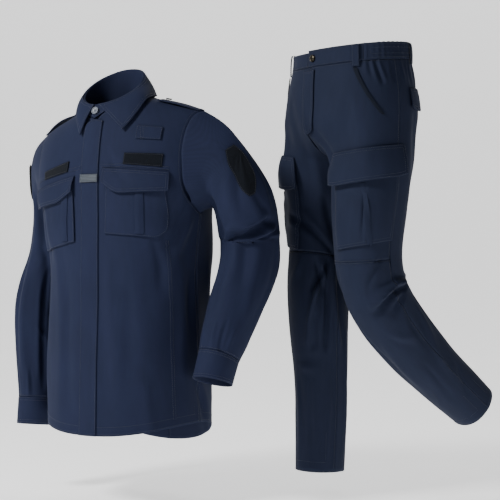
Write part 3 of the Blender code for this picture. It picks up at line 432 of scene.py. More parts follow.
# from_turn, from_along, to_turn, to_along, wide_mm, high_mm, bow_mm; turn 0 is the front middle,
# 90 the wearer's left, and along is how far below the front collar.
body_folds = (
    (76, -0.105, 62, -0.005, 11, -3.2, 4),
    (80, -0.06, 66, 0.06, 12, 3.0, -5),
    (74, 0.03, 76, 0.35, 16, 3.4, 8),
    (86, 0.05, 80, 0.30, 13, -2.6, -6),
    (54, -0.015, 60, 0.085, 10, -2.2, 4),
    (20, 0.03, 26, 0.26, 18, 2.0, -7),
    (36, 0.08, 33, 0.33, 15, -1.8, 6),
    (8, 0.14, 12, 0.38, 13, 1.6, 4),
    (86, 0.29, 97, 0.38, 10, -3.0, 3),
    (48, 0.30, 52, 0.41, 12, 1.8, -3),
    (-38, 0.01, -28, 0.36, 18, 2.4, 8),
    (-24, 0.10, -20, 0.33, 13, -1.8, -6),
    (-60, -0.10, -50, 0.02, 11, -2.6, 5),
    (-72, 0.02, -66, 0.30, 17, 2.8, -9),
    (-84, 0.05, -80, 0.26, 12, -2.4, 5),
    (-14, -0.21, -30, -0.13, 9, -1.4, 3),
    (16, -0.22, 34, -0.15, 9, -1.4, -3),
    (112, -0.13, 124, 0.05, 14, -2.8, 8),
    (122, -0.09, 138, 0.10, 15, 2.6, -8),
    (104, 0.04, 110, 0.33, 17, 3.0, 9),
    (128, 0.12, 124, 0.40, 15, -2.4, -7),
    (150, 0.02, 146, 0.34, 19, 2.4, 10),
    (168, -0.02, 172, 0.28, 14, -2.0, -6),
    (-172, 0.05, -176, 0.39, 18, 2.2, 8),
    (-154, -0.08, -162, 0.18, 15, -2.2, 6),
    (-140, 0.06, -136, 0.36, 17, 2.6, -9),
    (-118, -0.12, -128, 0.07, 14, -2.8, -7),
    (-106, 0.03, -112, 0.31, 16, 2.8, 8),
    (-124, 0.22, -120, 0.42, 13, -2.0, 4),
    (140, 0.28, 137, 0.43, 12, -1.8, 3),
)
# How a piece of each part is folded and draped.
forms = {"shirt_body": {"folds": body_folds}}
cloth = {}


def outer_faces(mesh):
    """Which faces are on the cloth's outer side."""
    return read(mesh.attributes["outer"].data, "value", kind=np.int32) == 1


def outer_tree(piece):
    """The nearest-spot finder of a cloth's outer side."""
    mesh = piece.data
    outer = outer_faces(mesh)
    faces = [tuple(face.vertices) for face, keep in zip(mesh.polygons, outer) if keep]
    return BVHTree.FromPolygons([vertex.co for vertex in mesh.vertices], faces)


def outer_edges(piece):
    """Each closed edge line of the outer side: its points in order, and the way inwards from them."""
    mesh = piece.data
    outer = outer_faces(mesh)
    uses = {}
    for face, keep in zip(mesh.polygons, outer):
        if keep:
            ring = list(face.vertices)
            for first, last in zip(ring, ring[1:] + ring[:1]):
                uses[(first, last)] = face.index
    follow = {}
    for (first, last), face in uses.items():
        if (last, first) not in uses:
            follow[first] = (last, face)
    lines = []
    while follow:
        start = next(iter(follow))
        ring, inwards = [], []
        at = start
        while at in follow:
            after, face = follow.pop(at)
            run = mesh.vertices[after].co - mesh.vertices[at].co
            ring.append(mesh.vertices[at].co.copy())
            inwards.append(mesh.polygons[face].normal.cross(run).normalized())
            at = after
        lines.append((np.array(ring), np.array(inwards)))
    return lines


def along_line(places, down_to, points):
    """The points of a line at places measured along it."""
    return np.stack([np.interp(places, down_to, column) for column in points.T], axis=1)


def evenly(points, step):
    """Spots each step along a line of points, with the directions there."""
    lengths = np.linalg.norm(np.diff(points, axis=0), axis=1)
    down_to = np.concatenate([[0], np.cumsum(lengths)])
    count = int(down_to[-1] / step)
    if count < 1:
        return np.empty((0, 3)), np.empty((0, 3))
    places = (np.arange(count) + 0.5) * down_to[-1] / count
    ahead = along_line(places + step / 4, down_to, points)
    behind = along_line(places - step / 4, down_to, points)
    return along_line(places, down_to, points), unit(ahead - behind)


def on_cloth(points, finder):
    """The points dropped on the cloth, and the cloth's normals there."""
    found = [finder.find_nearest(Vector(point)) for point in points]
    return np.array([hit[0] for hit in found]), np.array([hit[1] for hit in found])


widest_jump = 0.03


def edge_rows(piece, part, insets_mm, below=None):
    """Sewing lines that run inside a cloth's edge, as (points, normals) on its outer side, all
    round it or only where along is below that many metres."""
    finder = outer_tree(piece)
    rows = []
    for ring, inwards in outer_edges(piece):
        for inset_mm in insets_mm:
            inset = inset_mm / 1000
            moved, normals = on_cloth(ring + inwards * inset, finder)
            near = np.array([np.min(np.linalg.norm(ring - spot, axis=1)) for spot in moved])
            good = near > 0.9 * inset
            if below is not None:
                good &= chart(moved, part)[1] > below
            if good.all():
                rows.append((np.vstack([moved, moved[:1]]), np.vstack([normals, normals[:1]])))
                continue
            start = int(np.argmin(good))
            order = np.roll(np.arange(len(moved)), -start)
            run = []
            for k in list(order) + [None]:
                usable = k is not None and good[k]
                if usable and (not run or np.linalg.norm(moved[k] - moved[run[-1]]) < widest_jump):
                    run.append(k)
                    continue
                if len(run) > 3:
                    rows.append((moved[run], normals[run]))
                run = [k] if usable else []
    return rows


def drawn_row(piece, part, corners):
    """A sewing line through (turn, along) corners, dropped on the cloth from outside."""
    finder = outer_tree(piece)
    mesh = piece.data
    outer = outer_faces(mesh)
    centres = read(mesh.polygons, "center", 3)[outer].astype(float)
    turn, along, _ = chart(centres, part)
    around = math.radians(1) * charts[part]["around"]
    corners = np.array(corners, float)
    places = np.linspace(0, len(corners) - 1, len(corners) * 12)
    spots = []
    for want_turn, want_along in along_line(places, np.arange(len(corners)), corners):
        away = np.hypot(short_way(turn - want_turn) * around, along - want_along)
        best = np.argsort(away)[:4]
        weight = 1 / (away[best] + 1e-4)
        spots.append((centres[best] * weight[:, None]).sum(axis=0) / weight.sum())
    return on_cloth(np.array(spots), finder)


def sewn_cloth(node, part, material, slot, cut, insets_mm=(), held="hung", under=None, **form):
    """Makes a node's cloth and gives its rows of stitches. The cut, the flat width, length and area
    in metres, is not used, and under, the node that the piece lies on, is not used."""
    piece = cloth_from(node, part, **form)
    piece.data.materials.clear()
    piece.data.materials.append(material)
    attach(piece, "root")
    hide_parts(node)
    cloth[node] = piece
    return edge_rows(piece, part, insets_mm)


# The thread: lock stitches 3 mm long at 4.2 mm, of spun polyester a touch lighter than the cloth,
# drawn 0.8 mm thick, twice its real thickness, so that a row shows at all.
stitch_pitch = 0.0042
stitch_long = 0.0031
stitch_thick = 0.0008


def one_stitch():
    """One stitch along X, as a drawn-out ball of 20 triangles."""
    bpy.ops.object.select_all(action="DESELECT")
    bpy.ops.mesh.primitive_uv_sphere_add(segments=5, ring_count=3, radius=0.5)
    ball = bpy.context.object
    corners = np.array([vertex.co for vertex in ball.data.vertices])[:, [2, 0, 1]]
    corners *= np.array([stitch_long, stitch_thick, stitch_thick])
    faces = [tuple(face.vertices) for face in ball.data.polygons]
    bpy.data.objects.remove(ball)
    return corners, faces


stitch_corners, stitch_faces = one_stitch()


def sew(name, rows, material):
    """All the stitches of these rows as one piece, each lying on the cloth along its row."""
    corners, faces = [], []
    for points, normals in rows:
        spots, runs = evenly(points, stitch_pitch)
        if not len(spots):
            continue
        nearest = [int(np.argmin(np.linalg.norm(points - spot, axis=1))) for spot in spots]
        ups = normals[nearest]
        ups = unit(ups - runs * (ups * runs).sum(axis=1, keepdims=True))
        sides = np.cross(ups, runs)
        for spot, run, side, up in zip(spots, runs, sides, ups):
            lifted = spot + up * stitch_thick * 0.25
            base = len(corners) * len(stitch_corners)
            corners.append(lifted + stitch_corners @ np.array([run, side, up]))
            faces.extend(tuple(base + k for k in face) for face in stitch_faces)
    mesh = bpy.data.meshes.new(name)
    mesh.from_pydata(np.concatenate(corners).tolist(), [], faces)
    mesh.shade_smooth()
    mesh.materials.append(material)
    piece = bpy.data.objects.new(name, mesh)
    bpy.context.collection.objects.link(piece)
    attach(piece, "root")


def clouded(tree, shader, scale, detail, shade, light):
    """Colours the shader in clouds on Object coordinates, and gives the clouds' socket."""
    place = add_node(tree, "ShaderNodeTexCoord")
    cloud = add_node(tree, "ShaderNodeTexNoise", {"Vector": place.outputs["Object"]},
                     {"Scale": scale, "Detail": detail})
    colour_between(tree, shader, cloud.outputs["Fac"], shade, light)
    return cloud.outputs["Fac"]


def spun_thread(name, shade, light):
    """Spun polyester sewing thread: a little hairy, so matt, with a soft glint along its twist."""
    material, tree, shader = new_material(name, {"Roughness": 0.6, "Sheen Weight": 0.2})
    clouded(tree, shader, 900.0, 2.0, shade, light)
    return material


shirt_thread = spun_thread("shirt_thread", "191d30", "2a3047")


def lay_strip(name, row, part, wide, thick, material):
    """A folded strip laid along a row of (points, normals), arched a little over its middle."""
    points, normals = row
    runs = unit(np.gradient(points, axis=0))
    sides = unit(np.cross(normals, runs))
    # across in half widths, up in thicknesses
    section = ((-1.0, -0.6), (-0.92, 0.55), (-0.45, 0.9), (0.0, 1.0), (0.45, 0.9), (0.92, 0.55),
               (1.0, -0.6))
    corners = [point + side * across * wide / 2 + up * rise * thick
               for point, side, up in zip(points, sides, normals) for across, rise in section]
    count = len(section)
    faces = [(at + j, at + (j + 1) % count, at + count + (j + 1) % count, at + count + j)
             for at in range(0, (len(points) - 1) * count, count) for j in range(count)]
    faces += [tuple(reversed(range(count))), tuple((len(points) - 1) * count + j for j in range(count))]
    mesh = bpy.data.meshes.new(name)
    mesh.from_pydata([tuple(corner) for corner in corners], [], faces)
    piece = bpy.data.objects.new(name, mesh)
    bpy.context.collection.objects.link(piece)
    make_active(piece)
    bpy.ops.object.mode_set(mode="EDIT")
    bpy.ops.mesh.select_all(action="SELECT")
    bpy.ops.mesh.normals_make_consistent(inside=False)
    bpy.ops.object.mode_set(mode="OBJECT")
    bpy.ops.object.shade_smooth_by_angle(angle=math.radians(50))
    turn, along, _ = chart(np.array(corners), part)
    lay_weave(piece.data, turn, along, charts[part]["around"])
    piece.data.materials.append(material)
    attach(piece, "root")


# node, and the flat width, length and area of the panel in metres
shirt_panels = (
    ("shirt_front_left", (0.29, 0.79, 0.190)),
    ("shirt_front_right", (0.29, 0.79, 0.186)),
    ("shirt_back_left", (0.28, 0.83, 0.207)),
    ("shirt_back_right", (0.28, 0.83, 0.200)),
)
for node, cut in shirt_panels:
    sewn_cloth(node, "shirt_body", shirt_twill, "shirt_cloth", cut, **forms["shirt_body"])

# Princess seams run from each chest pocket to the hem, and a yoke seam crosses the chest above
# each pocket. The hidden back has a yoke seam on each half and a middle seam, which are assumed.
# Each is folded flat and held by two rows of stitches, 6 mm apart.
felled_wide = 0.0085
felled_thick = 0.0007
felled_row_out = 0.0031
felled_row_up = 0.8 * felled_thick
# name, panel, and its corners as (turn, along)
felled_seams = (
    ("princess_seam_left", "shirt_front_left",
     ((63, -0.022), (65, 0.05), (67, 0.15), (67, 0.26), (67, 0.372))),
    ("princess_seam_right", "shirt_front_right", ((-72, 0.01), (-72, 0.10), (-72, 0.22), (-71, 0.372))),
    ("yoke_seam_left", "shirt_front_left", ((10, -0.186), (30, -0.186), (48, -0.184), (63, -0.178))),
    ("yoke_seam_right", "shirt_front_right", ((-14, -0.184), (-34, -0.176), (-52, -0.166), (-66, -0.154))),
    ("back_yoke_seam_left", "shirt_back_left", ((178, -0.235), (150, -0.232), (122, -0.225))),
    ("back_yoke_seam_right", "shirt_back_right", ((-178, -0.235), (-150, -0.215), (-124, -0.190))),
    ("back_middle_seam", "shirt_back_left", ((179.2, -0.228), (179.2, 0.0), (179.2, 0.2), (179.2, 0.449))),
)
body_rows = []
for name, panel, corners in felled_seams:
    middle, normals = drawn_row(cloth[panel], "shirt_body", corners)
    lay_strip(name, (middle, normals), "shirt_body", felled_wide, felled_thick, shirt_twill)
    across = unit(np.cross(normals, unit(np.gradient(middle, axis=0))))
    for side in (-1, 1):
        body_rows.append((middle + across * side * felled_row_out + normals * felled_row_up, normals))

seam_inset_mm = 4.0
hem_inset_mm = 20.0
hem_from = 0.34
for node, _ in shirt_panels:
    body_rows += edge_rows(cloth[node], "shirt_body", (seam_inset_mm,))
    body_rows += edge_rows(cloth[node], "shirt_body", (hem_inset_mm,), hem_from)
sew("shirt_body_stitches", body_rows, shirt_thread)

# The placket and the two chest pockets
# A doubled band covers the front buttons. Each pocket is a pleated bag of the same twill sewn
# flat on the chest, under a pointed flap whose edges are stitched twice.
# node, its flat width, length and area in metres, and its rows of stitches in mm from the edge
chest_pieces = (
    ("placket", (0.046, 0.71, 0.0315), (2.5,)),
    ("chest_pocket_left", (0.15, 0.14, 0.0182), (2.5,)),
    ("chest_pocket_right", (0.15, 0.14, 0.0190), (2.5,)),
    ("chest_flap_left", (0.155, 0.06, 0.0076), (2.5, 7.5)),
    ("chest_flap_right", (0.15, 0.055, 0.0068), (2.5, 7.5)),
)
chest_rows = []
for node, cut, insets in chest_pieces:
    under = "shirt_front_right" if node.endswith("right") else "shirt_front_left"
    chest_rows += sewn_cloth(node, "shirt_body", shirt_twill, "shirt_cloth", cut, insets, "laid", under,
                             **forms["shirt_body"])
# A box pleat stands on each pocket. Its corners are (turn, along), and its sizes are in metres.
chest_pleat_wide = 0.021
chest_pleat_thick = 0.0028
chest_pleats = (
    ("chest_pleat_left", "chest_pocket_left", ((43.5, -0.132), (43.5, -0.080), (43.8, -0.036))),
    ("chest_pleat_right", "chest_pocket_right", ((-27.5, -0.124), (-26.5, -0.075), (-25.5, -0.020))),
)
for name, pocket, corners in chest_pleats:
    row = drawn_row(cloth[pocket], "shirt_body", corners)
    lay_strip(name, row, "shirt_body", chest_pleat_wide, chest_pleat_thick, shirt_twill)
sew("chest_stitches", chest_rows, shirt_thread)

# The collar
# A stand of doubled twill rings the neck, and a leaf folded down from it lies open on the chest.
# Both are stitched close to the edge, and the leaf again a presser foot's width inside it.
collar_rows = []
# node, its flat width, length and area in metres, and its rows of stitches in mm from the edge
collar_pieces = (
    ("collar_stand", (0.44, 0.045, 0.0178), (3.0,)),
    ("collar_leaf", (0.47, 0.085, 0.0310), (1.8, 7.0)),
)
for node, cut, insets in collar_pieces:
    collar_rows += sewn_cloth(node, "shirt_body", shirt_twill, "shirt_cloth", cut, insets, "folded",
                              "shirt_back_left", drape_mm=0.9, patch=0.05)

# The shoulder straps
# Each is a doubled strip of twill, sewn in at the sleeve seam and buttoned near the collar,
# with a second row of stitches inside its edge.
strap_cut = (0.112, 0.050, 0.0050)
for side in ("left", "right"):
    collar_rows += sewn_cloth("shoulder_strap_" + side, "shirt_body", shirt_twill, "shirt_cloth",
                              strap_cut, (2.5, 7.0), "laid", "shirt_front_" + side, drape_mm=0.0)
sew("collar_and_strap_stitches", collar_rows, shirt_thread)

# The sleeves and cuffs
# One-piece sleeves of the same twill, set in at the shoulder and bent as if on an arm, with
# strong folds inside each elbow, gathered into doubled cuffs that stand open and empty.
charts["left_sleeve"] = {"garment": "shirt", "depth": 1.5, "side": 1, "around": 0.062, "line": (
    (0.280, 0.058, 0.080), (0.274, 0.080, 0.030), (0.277, 0.068, -0.035), (0.269, 0.025, -0.122),
    (0.258, -0.006, -0.190), (0.254, -0.024, -0.232), (0.248, -0.041, -0.288))}
charts["right_sleeve"] = {"garment": "shirt", "depth": 1.5, "side": -1, "around": 0.060, "line": (
    (-0.256, 0.056, 0.070), (-0.260, 0.050, -0.020), (-0.273, 0.014, -0.120), (-0.265, -0.004, -0.240),
    (-0.256, -0.016, -0.305), (-0.254, -0.022, -0.350), (-0.251, -0.032, -0.412))}
# from_turn, from_along, to_turn, to_along, wide_mm, high_mm, bow_mm; turn 0 is the outer side,
# 90 the front, and along is measured down the sleeve from the armpit's height.
left_sleeve_folds = (
    (124, 0.044, 92, 0.002, 7, 5.0, 1),
    (94, 0.001, 26, -0.015, 7, 6.0, 1),
    (127, 0.060, 90, 0.016, 6, -7.0, 2),
    (95, 0.017, 20, 0.000, 6, -9.0, 2),
    (24, 0.002, -4, 0.014, 7, -7.0, 1),
    (62, 0.022, 14, 0.018, 8, 4.5, -2),
    (18, 0.030, -18, 0.034, 7, -4.0, 2),
    (20, 0.044, -20, 0.036, 8, 2.6, 3),
    (150, -0.150, 112, 0.040, 9, -3.6, 7),
    (166, -0.120, 132, 0.052, 8, 3.2, -6),
    (128, -0.110, 96, 0.018, 9, 2.8, 6),
    (110, -0.150, 72, -0.040, 10, -2.4, -6),
    (60, -0.160, 40, -0.030, 12, 2.0, 6),
    (35, -0.060, 8, -0.014, 9, -2.2, 3),
    (98, 0.040, 90, 0.220, 11, 2.6, -7),
    (112, 0.075, 104, 0.260, 9, -2.6, 6),
    (70, 0.050, 62, 0.180, 9, -2.4, 5),
    (44, 0.050, 26, 0.250, 12, 2.4, 8),
    (10, 0.060, -4, 0.240, 12, -2.2, -7),
    (-30, -0.080, -16, 0.020, 13, -2.4, 6),
    (-60, -0.020, -38, 0.120, 12, 2.4, -8),
    (-50, 0.110, -36, 0.280, 11, -2.0, 6),
    (-90, -0.110, -76, 0.040, 13, -2.0, 8),
    (-110, 0.030, -96, 0.220, 13, 2.4, -8),
    (-150, 0.000, -136, 0.150, 12, -2.4, 6),
    (174, 0.060, 160, 0.240, 11, 2.2, 6),
    (150, 0.110, 140, 0.290, 9, -2.2, -4),
    (84, 0.285, 80, 0.345, 5, 1.8, 1),
    (62, 0.275, 60, 0.345, 5, -1.8, 1),
    (38, 0.290, 40, 0.345, 6, 1.6, -1),
    (116, 0.270, 110, 0.340, 6, 1.8, 2),
    (-70, 0.280, -66, 0.345, 6, -2.0, 1),
    (-120, 0.275, -124, 0.345, 6, 1.8, -1),
)
right_sleeve_folds = (
    (70, -0.060, 84, 0.090, 11, 2.8, 7),
    (98, -0.080, 104, 0.060, 9, -3.2, -5),
    (120, -0.090, 112, 0.060, 9, 2.8, 6),
    (100, 0.070, 139, 0.204, 9, -3.4, 6),
    (139, 0.200, 147, 0.403, 8, -3.0, -4),
    (122, 0.130, 130, 0.380, 8, 2.8, 5),
    (88, 0.170, 92, 0.410, 11, 2.6, -6),
    (64, 0.110, 72, 0.330, 11, -2.2, 6),
    (40, 0.020, 52, 0.210, 13, 2.2, -8),
    (30, 0.200, 24, 0.400, 12, -2.0, 6),
    (128, 0.276, 152, 0.300, 6, 2.4, 2),
    (10, -0.120, 14, 0.100, 14, -2.2, 8),
    (-20, 0.050, -8, 0.260, 13, 2.4, 8),
    (-44, 0.120, -52, 0.340, 12, -2.2, -7),
    (-70, -0.080, -60, 0.140, 13, 2.0, 8),
    (-96, 0.080, -88, 0.330, 12, -2.4, 6),
    (-128, -0.030, -120, 0.240, 12, 2.4, -8),
    (170, 0.050, 176, 0.300, 10, 2.2, 5),
    (-156, 0.120, -160, 0.360, 10, -2.2, 5),
    (20, 0.375, 26, 0.430, 5, 1.8, 1),
    (60, 0.370, 62, 0.430, 6, -1.8, 1),
    (-60, 0.370, -66, 0.430, 6, 1.8, -1),
    (100, 0.375, 104, 0.430, 5, 1.8, 1),
)
forms["left_sleeve"] = {"folds": left_sleeve_folds, "drape_mm": 1.6, "patch": 0.05}
forms["right_sleeve"] = {"folds": right_sleeve_folds, "drape_mm": 1.6, "patch": 0.05}
# flat width, length and area in metres
sleeve_cuts = {"left": (0.44, 0.60, 0.216), "right": (0.44, 0.62, 0.200)}
cuff_cut = (0.26, 0.070, 0.0172)
sleeve_rows = []
for side in ("left", "right"):
    part = side + "_sleeve"
    sleeve_rows += sewn_cloth("sleeve_" + side, part, shirt_twill, "shirt_cloth", sleeve_cuts[side],
                              (3.0,), **forms[part])
    sleeve_rows += sewn_cloth("cuff_" + side, part, shirt_twill, "shirt_cloth", cuff_cut, (2.5, 7.5),
                              drape_mm=0.8, patch=0.04)
sew("sleeve_stitches", sleeve_rows, shirt_thread)

# The hook-and-loop patches, the badge holder and the front tab
# Woven loop tape, near black, is sewn on for name strips and sleeve badges and is bare here.
# The badge holder is a small flat pocket, and a short tab of grey webbing crosses the placket.


def loop_pile(name, shade, light):
    """Nylon loop tape: a low crushed pile that drinks the light and shows as fine dark crumb.
    The loops are 1 mm apart and are drawn coarser, so that they show."""
    material, tree, shader = new_material(name, {
        "Roughness": 0.95, "Specular IOR Level": 0.1, "Sheen Weight": 0.05, "Sheen Roughness": 0.6})
    weave = add_node(tree, "ShaderNodeUVMap", uv_map="weave")
    pile_mm = 2.6
    loops = add_node(tree, "ShaderNodeTexVoronoi", {"Vector": weave.outputs["UV"]}, {"Scale": 1000 / pile_mm})
    crush = add_node(tree, "ShaderNodeTexNoise", {"Vector": weave.outputs["UV"]},
                     {"Scale": 110.0, "Detail": 3.0})
    both = blend(tree, loops.outputs["Distance"], crush.outputs["Fac"], 0.5)
    colour_between(tree, shader, both, shade, light)
    raise_by(tree, shader, both, 0.7, 0.0012)
    return material


def ribbed_webbing(name, shade, light):
    """Woven nylon webbing: grey-blue cords side by side, with a slight silky shine. The cords are
    drawn coarser than real ones, so that they show."""
    material, tree, shader = new_material(name, {"Roughness": 0.55, "Sheen Weight": 0.3})
    weave = add_node(tree, "ShaderNodeUVMap", uv_map="weave")
    period = 0.314
    cord_mm = 3.2
    cords = add_node(tree, "ShaderNodeTexWave", {"Vector": weave.outputs["UV"]},
                     {"Scale": period / (cord_mm / 1000), "Distortion": 0.8},
                     wave_type="BANDS", bands_direction="Y")
    colour_between(tree, shader, cords.outputs["Fac"], shade, light)
    raise_by(tree, shader, cords.outputs["Fac"], 0.5, 0.0006)
    return material


loop_tape = loop_pile("nylon_loop_tape", "04060b", "11161f")
tab_webbing = ribbed_webbing("grey_nylon_webbing", "1f2831", "36414e")
patch_rows = []
patch_inset_mm = 2.0
# node, part, material, slot, flat width, length and area in metres, and the node under it
patches = (
    ("name_strip_left", "shirt_body", loop_tape, "loop_tape", (0.098, 0.026, 0.0024), "shirt_front_left"),
    ("name_strip_right", "shirt_body", loop_tape, "loop_tape", (0.090, 0.024, 0.0019), "shirt_front_left"),
    ("sleeve_shield_left", "left_sleeve", loop_tape, "loop_tape", (0.070, 0.115, 0.0050), "sleeve_left"),
    ("sleeve_shield_right", "right_sleeve", loop_tape, "loop_tape", (0.055, 0.09, 0.0034), "sleeve_right"),
    ("badge_holder", "shirt_body", shirt_twill, "shirt_cloth", (0.062, 0.034, 0.0018), "shirt_front_left"),
    ("placket_tab", "shirt_body", tab_webbing, "tab_webbing", (0.048, 0.019, 0.00085), "shirt_front_left"),
)
for node, part, material, slot, cut, under in patches:
    patch_rows += sewn_cloth(node, part, material, slot, cut, (patch_inset_mm,), "laid", under,
                             **forms[part])
holder_middle, holder_up = drawn_row(cloth["badge_holder"], "shirt_body", ((47, -0.243), (47.5, -0.272)))
across = unit(np.cross(holder_up, unit(np.gradient(holder_middle, axis=0))))
for shift in (-0.003, 0.003):
    patch_rows.append((holder_middle + across * shift, holder_up))
sew("patch_stitches", patch_rows, shirt_thread)

# The shirt's buttons
# The collar button is of grey moulded plastic and the strap buttons of near black. All are
# turned with a raised rim and sewn on through four holes.


def moulded_plastic(name, shade, light):
    """Moulded polyester button plastic: satin, with faint clouding."""
    material, tree, shader = new_material(name, {"Roughness": 0.38})
    clouded(tree, shader, 240.0, 2.0, shade, light)
    return material


# shares of a button's radius
hole_radius = 0.12
hole_out = 0.26
rim_bevel = 0.06


def turned_button(node, steps, holes, material):
    """A disc of the node's size, its face stepped by (inset, rise) shares, facing as the node does."""
    solid = read(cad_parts[node].data.vertices, "co", 3).astype(float)
    centre = (solid.max(axis=0) + solid.min(axis=0)) / 2
    _, _, axes = np.linalg.svd(solid - solid.mean(axis=0), full_matrices=False)
    facing = Vector(axes[2]).normalized()
    across = (solid - centre) @ np.array(facing)
    if facing.y > 0 and "strap" not in node or facing.z < 0 and "strap" in node:
        facing = -facing
    thick = float(np.ptp(across))
    radius = float(np.linalg.norm((solid - centre) - np.outer(across, axes[2]), axis=1).max())
    bpy.ops.object.select_all(action="DESELECT")
    bpy.ops.mesh.primitive_cylinder_add(vertices=48, radius=radius, depth=thick)
    button = bpy.context.object
    button.name = node + "_turned"
    bpy.ops.object.mode_set(mode="EDIT")
    bpy.ops.mesh.select_all(action="DESELECT")
    bpy.ops.object.mode_set(mode="OBJECT")
    for face in button.data.polygons:
        face.select = face.normal.z > 0.9
    bpy.ops.object.mode_set(mode="EDIT")
    for inset, rise in steps:
        bpy.ops.mesh.inset(thickness=inset * radius)
        bpy.ops.transform.translate(value=(0, 0, rise * thick))
    bpy.ops.object.mode_set(mode="OBJECT")
    for k in range(holes):
        angle = math.radians(45 + 360 * k / holes)
        bpy.ops.object.select_all(action="DESELECT")
        place = (hole_out * radius * math.cos(angle), hole_out * radius * math.sin(angle), 0)
        bpy.ops.mesh.primitive_cylinder_add(vertices=12, radius=hole_radius * radius, depth=3 * thick,
                                            location=place)
        drill = bpy.context.object
        bpy.context.view_layer.objects.active = button
        cut = button.modifiers.new("hole", "BOOLEAN")
        cut.operation = "DIFFERENCE"
        cut.object = drill
        bpy.ops.object.modifier_apply(modifier="hole")
        bpy.data.objects.remove(drill)
    make_active(button)
    softened = button.modifiers.new("softened", "BEVEL")
    softened.width = rim_bevel * radius
    softened.segments = 3
    softened.limit_method = "ANGLE"
    bpy.ops.object.modifier_apply(modifier="softened")
    bpy.ops.object.shade_smooth_by_angle(angle=math.radians(40))
    placed = Matrix.Translation(centre) @ facing.to_track_quat("Z", "Y").to_matrix().to_4x4()
    button.data.transform(placed)
    button.data.materials.clear()
    button.data.materials.append(material)
    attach(button, "root")
    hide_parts(node)


button_plastic = moulded_plastic("moulded_button_plastic", "0c0e14", "1d212b")
collar_plastic = moulded_plastic("grey_button_plastic", "3c424f", "6c7482")
# share of the radius in, share of the thickness up
sewn_steps = ((0.14, 0.0), (0.10, -0.35), (0.10, 0.0))
turned_button("collar_button", sewn_steps, 4, collar_plastic)
for side in ("left", "right"):
    turned_button("strap_button_" + side, sewn_steps, 4, button_plastic)

# The trousers' legs
# Fronts in two pieces with a seam at the knee, and backs in one, of a slightly darker navy twill.
# The left leg is drawn back as in a stride, so its knee and the hollow behind it are full of folds.
trouser_cloth = {"shade": "141a2a", "light": "232a41", "twill_mm": 3.4}
garment_frames["trousers"] = ((0.538, 0.017, -0.360), -55.0)
charts["hips"] = {"garment": "trousers", "line": None, "middle": 0.0, "around": 0.145}
charts["left_leg"] = {"garment": "trousers", "depth": 1.6, "side": 1, "around": 0.085, "line": (
    (0.0894, -0.010, 0.200), (0.090, -0.014, 0.120), (0.091, -0.022, 0.050), (0.091, -0.024, -0.010),
    (0.091, -0.015, -0.065), (0.091, 0.011, -0.116), (0.091, 0.059, -0.172), (0.091, 0.138, -0.247),
    (0.091, 0.227, -0.315), (0.091, 0.297, -0.368))}
charts["right_leg"] = {"garment": "trousers", "depth": 1.6, "side": -1, "around": 0.085, "line": (
    (-0.0894, -0.008, 0.200), (-0.090, -0.002, 0.120), (-0.0905, -0.008, 0.030), (-0.090, -0.022, -0.060),
    (-0.091, -0.021, -0.160), (-0.092, -0.013, -0.300), (-0.092, -0.014, -0.420), (-0.092, -0.017, -0.515))}
trouser_twill = woven_twill("trouser_twill", **trouser_cloth)
trouser_thread = spun_thread("trouser_thread", "171c2c", "262d42")
